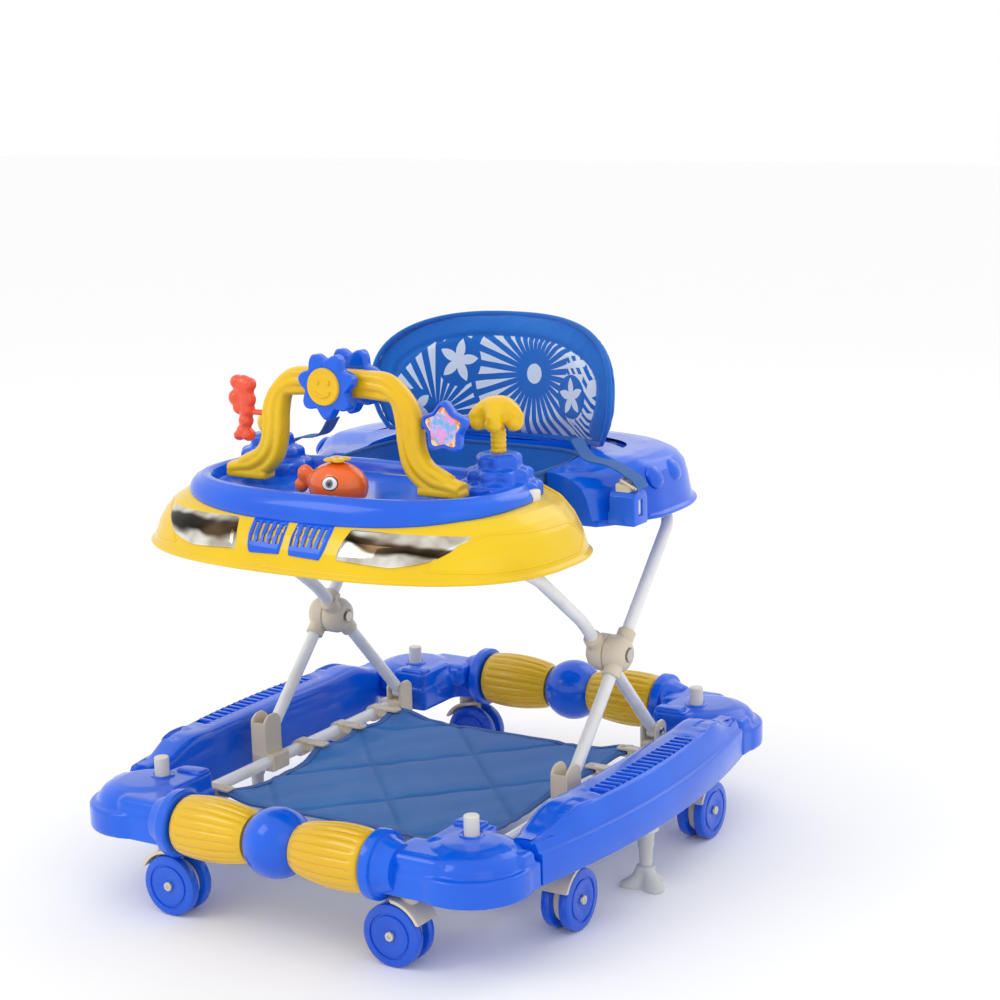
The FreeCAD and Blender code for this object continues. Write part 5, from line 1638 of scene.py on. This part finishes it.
@dataclass
class SeatSling:
    """The cloth bag of the seat, with two leg holes in its front wall."""

    plan: Oval = Oval(132.0, 55.0, 97.0, 97.0, 4.0)
    leg_x: float = 56.0
    leg_z: float = 374.0
    leg_radius: float = 31.0
    count: int = 180

    def build(self, bench: Bench, looks: Finishes) -> None:
        """Hang the bag, cut the leg holes and fold the top edge."""
        steps = flowing([(80, 329), (58, 331), (38, 340), (20, 358), (10, 378), (5, 405), (2.5, 440)], 34)
        bag = bench.loft("seat_sling_cloth", [self.plan.ring(p.x, p.y, self.count) for p in steps])

        def open_leg(spot: Vector) -> bool:
            across = abs(spot.x) - self.leg_x
            return spot.y < 20 and math.hypot(across, spot.z - self.leg_z) < self.leg_radius

        bench.delete_faces(bag, lambda c: open_leg(c) or c.z > 439.5)
        for vertex in bag.data.vertices:
            spot = vertex.co / MM
            sag = 1.6 * math.sin(spot.x * 0.09 + spot.z * 0.05) + 1.0 * math.sin(spot.y * 0.12 - spot.x
                                                                                 * 0.05)
            hold = ease(436 - spot.z, 0, 40)
            for side in (1, -1):
                dx, dz = spot.x - side * self.leg_x, spot.z - self.leg_z
                reach = math.hypot(dx, dz)
                if spot.y < 20 and abs(reach - self.leg_radius) < 4.5:
                    scale = self.leg_radius / reach
                    spot.x, spot.z = side * self.leg_x + dx * scale, self.leg_z + dz * scale
            away = Vector((spot.x, spot.y - self.plan.middle, 0)).normalized()
            vertex.co = (spot - away * (sag * hold + 1.6)) * MM
        bench.modify(bag, "SOLIDIFY", thickness=1.6 * MM, offset=0.0)
        bench.settle(bag, "tray", looks.plain, ["seat_sling"], 60)
        bands = []
        for side in (1, -1):
            ring = []
            for k in range(49):
                turn = FULL_TURN * k / 48
                x = side * self.leg_x + self.leg_radius * math.cos(turn)
                z = self.leg_z + self.leg_radius * math.sin(turn)
                inset = inset_at([(p.x, p.y) for p in steps], z) + 1.6
                ring.append((x, self.plan.front_y(x, inset), z))
            bands.append(bench.tube("leg_band", ring, 2.6, 8))
        top = self.plan.ring(3.6, 439, 120)
        bands.append(bench.tube("top_band", [*top, top[0]], 2.4, 8))
        band = bench.join("seat_sling_bands", bands)
        bench.settle(band, "tray", looks.webbing, degrees=60)


@dataclass
class Belt:
    """The waist belt's webbing and the slides that hold it at the armrest."""

    width: float = 24.0
    middle: float = 40.0

    def build(self, bench: Bench, looks: Finishes) -> None:
        """Model the right strap and slide, and mirror them."""
        path = flowing([(160, 475.4), (176, 456), (206, 450.6), (233, 437.5), (239.2, 430), (239.4, 428)],
                       30)
        normal = []
        for i in range(len(path)):
            along = (path[min(i + 1, 29)] - path[max(i - 1, 0)]).normalized()
            normal.append(Vector((-along.y, along.x)))
        half = 0.8
        flat = [p + n * half for p, n in zip(path, normal)] + [p - n * half for p, n in
                                                               reversed(list(zip(path, normal)))]
        strap = bench.prism("belt_strap_right", flat, self.middle - self.width / 2,
                            self.middle + self.width / 2,
                            Facing.FRONT)
        slide = []
        for y in (26.5, 39.2, 50.5):
            slide.append(bench.block("bar", (218, y, 431.4), (240.5, y + 3.4, 434.6), 1.2))
        for x in (218, 237):
            slide.append(bench.block("end", (x, 26.5, 431.4), (x + 3.4, 53.9, 434.6), 1.2))
        tilt = Matrix.Translation(Vector((229, 40, 433)) * MM) @ Matrix.Rotation(math.radians(24), 4, "Y") \
            @ Matrix.Translation(Vector((-229, -40, -433)) * MM)
        frame = bench.join("slide", slide)
        turned = bench.copy(frame, "belt_slide_right", tilt)
        bpy.data.objects.remove(frame)
        flap = bench.block("belt_flap", (213, 29, 420), (231, 51, 433), 2.0)
        tab = bench.join("belt_slide_right", [turned, flap])
        for piece, body, finish, slot, node in ((strap, "tray", looks.webbing, "strap_webbing",
                                                 "belt_straps"),
                                                (tab, "tray", looks.beige, "white_plastic",
                                                 "belt_buckles")):
            bench.settle_pair(piece, body, finish, [node])


# ---------------------------------------------------------------- toys


@dataclass
class ToyArch:
    """The toy bar: strands that run together along an arch and part into waves at its feet."""

    plane: float = ARCH_Y
    top: float = 556.0

    def build(self, bench: Bench, looks: Finishes) -> None:
        """Lay the strands, melt them into one and smooth it."""
        strands = []
        toes = ([(131, 463), (121, 468), (107, 475), (98, 486)],
                [(146, 456), (134, 459), (114, 463), (95, 477)],
                [(120, 453), (110, 455), (96, 461), (83, 476)])
        for toe, spread, radius in zip(toes, (8.5, 0.0, -8.5), (6.6, 7.4, 6.4)):
            line = [*toe, (86 + spread, 500), (84 + spread, 522), (76 + spread * 0.8, 543),
                    (58 + spread * 0.4, 554 + spread * 0.9), (34, 556 + spread), (0, 556 + spread)]
            path = flowing(line, 60)
            right = [Vector((p.x, self.plane, p.y)) for p in path]
            whole = right + [Vector((-p.x, p.y, p.z)) for p in reversed(right[:-1])]
            strands.append(bench.tube("strand", whole, radius, 16, 1.6))
        feet = [bench.block("foot", (s * 122 - 26, -176, 447), (s * 122 + 26, -154, 456),
                            3.5) for s in (1, -1)]
        arch = bench.fused("toy_arch_bar", [*strands, *feet], 1.5, 2)
        bench.settle(arch, "tray", looks.toy_yellow, ["toy_arch"], 60)


@dataclass
class Flowers:
    """Two seven-petalled flowers on one pin, one on each side of the arch's top."""

    plane: float = ARCH_Y
    height: float = ARCH_TOP
    reach: float = 21.5
    radius: float = 28.0

    def flower(self, bench: Bench) -> bpy.types.Object:
        """One flower with soft edges, facing the front."""
        rings = []
        for share, out in ((0.8, -7.5), (0.94, -7.0), (1.0, -4.8), (1.0, 4.8), (0.94, 7.0), (0.8, 7.6),
                           (0.5, 7.2),
                           (0.2, 7.0)):
            flat = []
            for i in range(140):
                turn = FULL_TURN * i / 140
                lobe = 1 - abs(math.sin(3.5 * turn)) ** 1.6
                out_to = (self.radius + 7.0 - 8.5 * lobe) * share
                flat.append((-out_to * math.sin(turn), out_to * math.cos(turn)))
            rings.append(Facing.FRONT.place(flat, out, (0, 0, self.height)))
        return bench.loft("flower", rings)

    def build(self, bench: Bench, looks: Finishes) -> None:
        """Model both flowers, the pin and the front's yellow face."""
        both = []
        for sign in (-1, 1):
            flower = self.flower(bench)
            both.append(bench.copy(flower, "petals", shift(0, self.plane + sign * self.reach)))
            bpy.data.objects.remove(flower)
        pin = bench.lathe("pin", [(3, -self.reach), (3, self.reach)], Facing.FRONT,
                          (0, self.plane, self.height), 20)
        whole = bench.join("flower_petals", [*both, pin])
        bench.settle(whole, "flower", looks.blue, ["flower_spinner"])
        front = self.plane - self.reach
        face = bench.lathe("face", [(19.5, front - 7), (19.5, front - 9.6), (18.6, front - 10.8),
                                    (16.5, front - 10.9), (14, front - 10.2), (8, front - 10.4),
                                    (1, front - 10.4)],
                           Facing.FRONT, (0, 0, self.height), 56)
        marks = []
        for x, z, r in ((-6.5, 4.5, 2.6), (6.5, 4.5, 2.6)):
            marks.append(bench.lathe("eye", [(r, front - 10), (r, front - 11.4), (r * 0.5, front - 12)],
                                     Facing.FRONT, (x, 0, self.height + z), 20))
        smile = [(11 * math.sin(a), front - 10.4, self.height + 1 - 11 * math.cos(a))
                 for a in (math.radians(d) for d in range(-55, 56, 10))]
        marks.append(bench.tube("smile", smile, 1.4, 10))
        relief = bench.join("flower_face", [face, *marks])
        bench.settle(relief, "flower", looks.toy_yellow)


@dataclass
class SideToys:
    """The star with its sticker and the coral, on their posts beside the arch."""

    reach: float = 128.0
    plane: float = ARCH_Y
    height: float = 518.0

    def star(self, bench: Bench, looks: Finishes) -> None:
        """A fat rounded star whose face is recessed for a sticker."""
        flat = []
        for i in range(10):
            turn = math.pi / 2 + i * math.pi / 5
            reach = 31.5 if i % 2 == 0 else 20.0
            flat.append((reach * math.cos(turn), reach * math.sin(turn)))
        line = evenly(rounded(flat, [11, 9] * 5, 7), 120)
        rings = []
        for share, out in ((0.6, 7.0), (0.84, 7.0), (0.95, 5.6), (1.0, 2.8), (1.0, -3.2), (0.97, -6.0),
                           (0.92, -7.2),
                           (0.86, -7.4), (0.82, -6.6), (0.8, -5.4)):
            rings.append(Facing.FRONT.place([p * share for p in line], out,
                                            (self.reach, self.plane, self.height)))
        body = bench.loft("star_body", rings)
        post = bench.lathe("post", [(3, -36), (3, -10)], Facing.SIDE,
                           (self.reach, self.plane, self.height), 20)
        whole = bench.join("star_toy_body", [body, post])
        bench.settle(whole, "star", looks.blue, ["star_toy"])
        rings = [Facing.FRONT.place([p * share for p in line], out, (self.reach, self.plane, self.height))
                 for share, out in ((0.79, -5.2), (0.78, -5.9), (0.6, -5.95), (0.4, -5.95), (0.2, -5.95),
                                    (0.02, -5.95))]
        sticker = bench.loft("star_sticker", rings)
        attribute = sticker.data.attributes.new("rim", "FLOAT", "POINT")
        for i, vertex in enumerate(sticker.data.vertices):
            spot = vertex.co / MM
            attribute.data[i].value = math.hypot(spot.x - self.reach, spot.z - self.height) / 25
        bench.settle(sticker, "star", looks.sticker)

    def coral(self, bench: Bench, looks: Finishes) -> None:
        """A lumpy branch of flattened knobs."""
        knobs = []
        for x, z, r in ((2, 26, 13), (-8, 14, 9.5), (6, 13, 10), (5, 2, 9), (-4, 4, 8), (3, -10, 8.2),
                        (0, -22, 9),
                        (6, -25, 7), (-6, -26, 6), (9, 29, 8), (-6, 31, 8)):
            profile = [(r * math.cos(math.radians(d)), 8.5 * math.sin(math.radians(d)))
                       for d in range(-80, 81, 16)]
            knobs.append(bench.lathe("knob", profile, Facing.FRONT,
                                     (-self.reach + x, self.plane, self.height + z), 28))
        post = bench.lathe("post", [(3, 2), (3, 36)], Facing.SIDE, (-self.reach, self.plane, self.height),
                           20)
        whole = bench.fused("coral_toy_body", knobs, 1.3, 4)
        whole = bench.join("coral_toy_body", [whole, post])
        bench.settle(whole, "coral", looks.coral, ["coral_toy"], 60)


@dataclass
class Fish:
    """The rocking fish with its tail, eye and sprout."""

    x: float = 12.0
    plane: float = -192.0
    z: float = 454.0

    def build(self, bench: Bench, looks: Finishes) -> None:
        """Model the body, the tail, the eye and the sprout on top."""
        profile = [(max(0.5, 25 * math.sqrt(max(0.0, 1 - (t / 33) ** 2)) ** 0.9), float(t)) for t in
                   (-32.9, -32, -30, -26, -20, -14, -7, 0, 7, 14, 20, 26, 30, 32, 32.9)]
        body = bench.lathe("body", profile, Facing.SIDE, (self.x, self.plane, self.z), 56)
        fins = []
        for dx, dz, r in ((-41, 9, 10), (-47, -3, 8), (-32, 2, 8.5)):
            lobe = [(r * math.cos(math.radians(d)), 6.5 * math.sin(math.radians(d))) for d in range(-80,
                                                                                                    81, 16)]
            fins.append(bench.lathe("fin", lobe, Facing.FRONT, (self.x + dx, self.plane, self.z + dz), 28))
        whole = bench.fused("fish_body", [body, *fins], 1.5, 4)
        floor = bench.block("floor", (-80, -240, 400), (100, -150, 443.6), 0.0)
        bench.cut(whole, floor)
        pin = bench.lathe("pin", [(2, -33), (2, 9)], Facing.SIDE, (self.x, self.plane, 446), 16)
        whole = bench.join("fish_body", [whole, pin])
        bench.settle(whole, "fish", looks.orange, ["fish_toy"], 60)
        eye_at = Vector((self.x + 6, self.plane, self.z + 7))
        outward = Vector((0.12, -0.94, 0.3)).normalized()
        across = Vector((1, 0, 0)) - outward * outward.x
        across.normalize()
        up = across.cross(outward) * -1
        up = up if up.z > 0 else -up
        for name, finish, width, height, lift in (("fish_eye_outline", looks.black, 9.4, 7.6, 0.35),
                                                  ("fish_eye_white", looks.white, 8.4, 6.6, 0.8),
                                                  ("fish_eye_iris", looks.iris, 4.2, 4.4, 1.2),
                                                  ("fish_eye_pupil", looks.black, 2.4, 2.6, 1.5)):
            rings = []
            for share in (1.0, 0.8, 0.5, 0.2):
                ring = []
                for k in range(32):
                    turn = FULL_TURN * k / 32
                    dx, dz = width * share * math.cos(turn), height * share * math.sin(turn)
                    spot = eye_at + across * dx + up * dz
                    t = min(0.98, abs(spot.x - self.x) / 33)
                    round_at = 25 * math.sqrt(1 - t * t) ** 0.9
                    high = min(round_at * 0.98, abs(spot.z - self.z))
                    ring.append(Vector((spot.x, self.plane - math.sqrt(round_at ** 2 - high ** 2)
                                        - lift * (0.6 + 0.4 * (1 - share)), spot.z)))
                rings.append(ring)
            disc = bench.loft(name, rings, caps=True)
            bench.settle(disc, "fish", finish, degrees=60)
        leaves = [bench.lathe("stalk", [(2.4, -6), (2.4, 1)], Facing.UP, (self.x, self.plane, 480), 16)]
        for k in range(4):
            turn = math.pi / 4 + FULL_TURN * k / 4
            lobe = [(7.2 * math.cos(math.radians(d)), 2.4 * math.sin(math.radians(d))) for d in range(-80,
                                                                                                      81,
                                                                                                      20)]
            leaves.append(bench.lathe("leaf", lobe, Facing.UP, (self.x + 7.6 * math.cos(turn),
                                                               self.plane + 7.6 * math.sin(turn), 481.5),
                                      24))
        sprout = bench.fused("fish_sprout_leaves", leaves, 1.0, 3)
        bench.settle(sprout, "fish", looks.toy_yellow, ["fish_sprout"], 60)


@dataclass
class HillToys:
    """The palm on one hill and the domed knob on the other."""

    reach: float = 146.0
    plane: float = -95.0
    foot: float = 482.0

    def build(self, bench: Bench, looks: Finishes) -> None:
        """Model the ribbed stem, the drooping crown and the knob."""
        stem = [(5, self.foot - 24), (6.5, self.foot - 1)]
        for k in range(5):
            low = self.foot + 5.4 * k
            stem += [(7.2, low), (8.6, low + 1.6), (8.4, low + 3.6), (6.6, low + 4.6)]
        stem.append((6, self.foot + 34))
        parts = [bench.lathe("stem", stem, Facing.UP, (self.reach, self.plane, 0), 32)]
        dome = [(4, 513), (20, 514), (24, 518), (24.5, 524), (22, 531), (16.5, 537), (9, 540.5), (2, 541.5)]

        def droop(turn: float, out: float) -> float:
            return 1 + 0.26 * math.cos(5 * turn) * ease(541 - out, 0, 22)

        parts.append(bench.lathe("crown", dome, Facing.UP, (self.reach, self.plane, 0), 80, droop))
        for k in range(5):
            turn = FULL_TURN * k / 5
            lobe = [(9.5 * math.cos(math.radians(d)), 9 * math.sin(math.radians(d))) for d in range(-80,
                                                                                                    81, 16)]
            parts.append(bench.lathe("frond", lobe, Facing.UP, (self.reach + 20 * math.cos(turn),
                                                               self.plane + 20 * math.sin(turn), 515), 28))
        palm = bench.fused("palm_toy_tree", parts, 1.4, 3)
        bench.settle(palm, "palm", looks.toy_yellow, ["palm_toy"], 60)
        knob = [(4, self.foot - 15), (4, self.foot + 0.6), (12.5, self.foot + 0.8), (11, self.foot + 3)]
        knob += [(15 * math.cos(math.radians(d)), self.foot + 12 + 15 * math.sin(math.radians(d)))
                 for d in range(-32, 89, 8)]
        dome = bench.lathe("dome_knob_ball", knob, Facing.UP, (-self.reach, self.plane, 0), 48)
        bench.settle(dome, "knob", looks.toy_yellow, ["dome_knob"])


# ---------------------------------------------------------------- running gear


@dataclass
class Casters:
    """Eight twin-wheel casters."""

    radius: float = 33.0
    core: float = 4.9
    wide: float = 11.6

    def build(self, bench: Bench, looks: Finishes, nodes: dict[str, bpy.types.Object]) -> None:
        """Model the wheels of each caster with their hub caps, and soften the forks."""
        for end in ("front_right", "front_left", "rear_right", "rear_left", "side_right_front",
                    "side_right_rear", "side_left_front", "side_left_rear"):
            facing = Facing.SIDE if end.startswith("side") else Facing.FRONT
            at = centre(f"caster_wheels_{end}")
            fork = nodes[f"caster_fork_{end}"]
            fork.data.materials.clear()
            fork.data.materials.append(looks.beige)
            bench.pick(fork)
            edge = fork.modifiers.new("Bevel", "BEVEL")
            edge.width, edge.segments, edge.limit_method = 1.2 * MM, 2, "ANGLE"
            edge.angle_limit = math.radians(55)
            bench.smooth(fork, 40)
            wheels, caps = [], []
            for sign in (1, -1):
                c, w = self.core, self.wide
                profile = [(6, c), (30.4, c), (32.4, c + 0.7), (33, c + 2.2), (33, c + w - 3.2),
                           (32.2, c + w - 1.2),
                           (30, c + w), (24.4, c + w), (23.8, c + w - 1.5), (21.6, c + w - 1.5),
                           (21, c + w),
                           (17, c + w + 0.2), (13, c + w - 0.4), (10, c + w - 1.2), (5.2, c + w - 1.2),
                           (3.2, c + w - 1.4)]
                wheels.append(bench.lathe("wheel", [(r, sign * out) for r, out in profile], facing, at, 64))
                head = [(4.6, c + w - 1.6), (5.2, c + w - 0.4), (4.8, c + w + 0.8), (3.2, c + w + 1.8),
                        (0.8, c + w + 2.2)]
                caps.append(bench.lathe("cap", [(r, sign * out) for r, out in head], facing, at, 24))
            body = f"wheels_{end}"
            pair = bench.join(f"caster_wheels_{end}_pair", wheels)
            bench.settle(pair, body, looks.wheel_blue, [f"caster_wheels_{end}"])
            bench.settle(bench.join(f"caster_caps_{end}", caps), f"swivel_{end}", looks.steel)


@dataclass
class Stoppers:
    """The push-down stopping feet of the side rails."""

    x: float = 262.0
    y: float = -2.0

    def build(self, bench: Bench, looks: Finishes, nodes: dict[str, bpy.types.Object]) -> None:
        """Model the stem, its collar and the three-lobed foot."""
        steps = ((8.8, 0, 101.5), (9, 0, 60), (9, 0, 46), (7.6, 0.2, 43), (7, 0.3, 30), (7, 0.3, 25),
                 (9.8, 0.4, 24),
                 (10.4, 0.6, 22), (10.8, 1.6, 18), (13.2, 3.2, 12.6), (17.5, 5.4, 8), (20.6, 7.0, 5.4),
                 (21.4, 7.4, 3), (21.2, 7.3, 0.6), (20.2, 7.0, 0))
        rings = []
        for radius, wave, z in steps:
            flat = circle(radius, 84, wave, 3, -math.pi * 1.5)
            rings.append(Facing.UP.place(flat, z, (self.x, self.y, 0)))
        foot = bench.loft("stopper_right_foot", rings)
        bench.settle(foot, "stopper_r", looks.grey, ["stopper_right"])
        twin = bench.copy(foot, "stopper_left_foot", MIRROR_X)
        bench.settle(twin, "stopper_l", looks.grey, ["stopper_left"])
        housing = nodes["stopper_housings"]
        housing.data.materials.clear()
        housing.data.materials.append(looks.cream)
        bench.smooth(housing, 35)


# ---------------------------------------------------------------- the picture


def light(name: str, at: Sequence[float], aim: Sequence[float], size: float, power: float) -> None:
    """A square area light in metres, aimed at a point."""
    data = bpy.data.lights.new(name, "AREA")
    data.size, data.energy = size, power
    obj = bpy.data.objects.new(name, data)
    obj.location = at
    obj.rotation_euler = (Vector(aim) - Vector(at)).to_track_quat("-Z", "Y").to_euler()
    bpy.context.scene.collection.objects.link(obj)


@dataclass(frozen=True)
class Shot:
    """Where the camera stands, in metres, how it is turned, in degrees, and its lens."""

    at: tuple[float, float, float] = (1.3385, -2.0152, 0.9038)
    azimuth: float = 31.84
    pitch: float = 11.78
    roll: float = -1.42
    lens: float = 80.6
    sensor: float = 36.0

    def matrix(self) -> Matrix:
        """The camera's matrix, looking along -Z with +Y up."""
        turn, pitch, roll = (math.radians(angle) for angle in (self.azimuth, self.pitch, self.roll))
        look = Vector((-math.sin(turn) * math.cos(pitch), math.cos(turn) * math.cos(pitch),
                       -math.sin(pitch)))
        right = Vector((math.cos(turn), math.sin(turn), 0))
        above = right.cross(look)
        rolled = right * math.cos(roll) + above * math.sin(roll)
        up = above * math.cos(roll) - right * math.sin(roll)
        rows = [(*row, place) for row, place in zip(zip(rolled, up, -look), self.at)]
        return Matrix((*rows, (0, 0, 0, 1)))


LAMPS = (("key", (-1.3, -1.9, 2.3), (0, 0, 0.25), 1.3, 13),
         ("fill", (2.2, -1.6, 1.6), (0, 0, 0.25), 1.8, 4),
         ("rim", (0.6, 2.2, 2.0), (0, 0, 0.3), 1.5, 7))


def set_the_studio() -> None:
    """A white floor, soft lamps and the camera."""
    floor_look = Shader("studio_floor")
    floor_look.set(Base_Color=colour(252, 252, 252), Roughness=0.75)
    bpy.ops.mesh.primitive_plane_add(size=24.0)
    floor = bpy.context.active_object
    floor.name = "studio_floor"
    floor.data.materials.append(floor_look.material)
    world = bpy.data.worlds.new("studio")
    world.use_nodes = True
    world.node_tree.nodes["Background"].inputs[0].default_value = (1, 1, 1, 1)
    world.node_tree.nodes["Background"].inputs[1].default_value = 1.0
    bpy.context.scene.world = world
    for lamp in LAMPS:
        light(*lamp)
    shot = Shot()
    data = bpy.data.cameras.new("camera")
    data.lens, data.sensor_width = shot.lens, shot.sensor
    camera = bpy.data.objects.new("camera", data)
    camera.matrix_world = shot.matrix()
    bpy.context.scene.collection.objects.link(camera)
    bpy.context.scene.camera = camera
    bpy.context.scene.view_settings.view_transform = "Standard"


def main() -> None:
    """Build every piece on the frame and set the picture up."""
    logging.basicConfig(level=logging.INFO)
    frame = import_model()
    nodes = frame["nodes"]
    bench, looks = Bench(), Finishes()
    tray = Tray()
    Corner().build(bench, looks)
    SideRail().build(bench, looks)
    Rollers().build(bench, looks)
    FloorMat().build(bench, looks)
    FrameFittings().build(bench, looks, nodes)
    tray.build(bench, looks)
    PlayTray().build(bench, looks, tray)
    Armrest().build(bench, looks, tray)
    SeatBack().build(bench, looks)
    SeatSling().build(bench, looks)
    Belt().build(bench, looks)
    ToyArch().build(bench, looks)
    Flowers().build(bench, looks)
    toys = SideToys()
    toys.star(bench, looks)
    toys.coral(bench, looks)
    Fish().build(bench, looks)
    HillToys().build(bench, looks)
    Casters().build(bench, looks, nodes)
    Stoppers().build(bench, looks, nodes)
    set_the_studio()


if __name__ == "__main__":
    main()
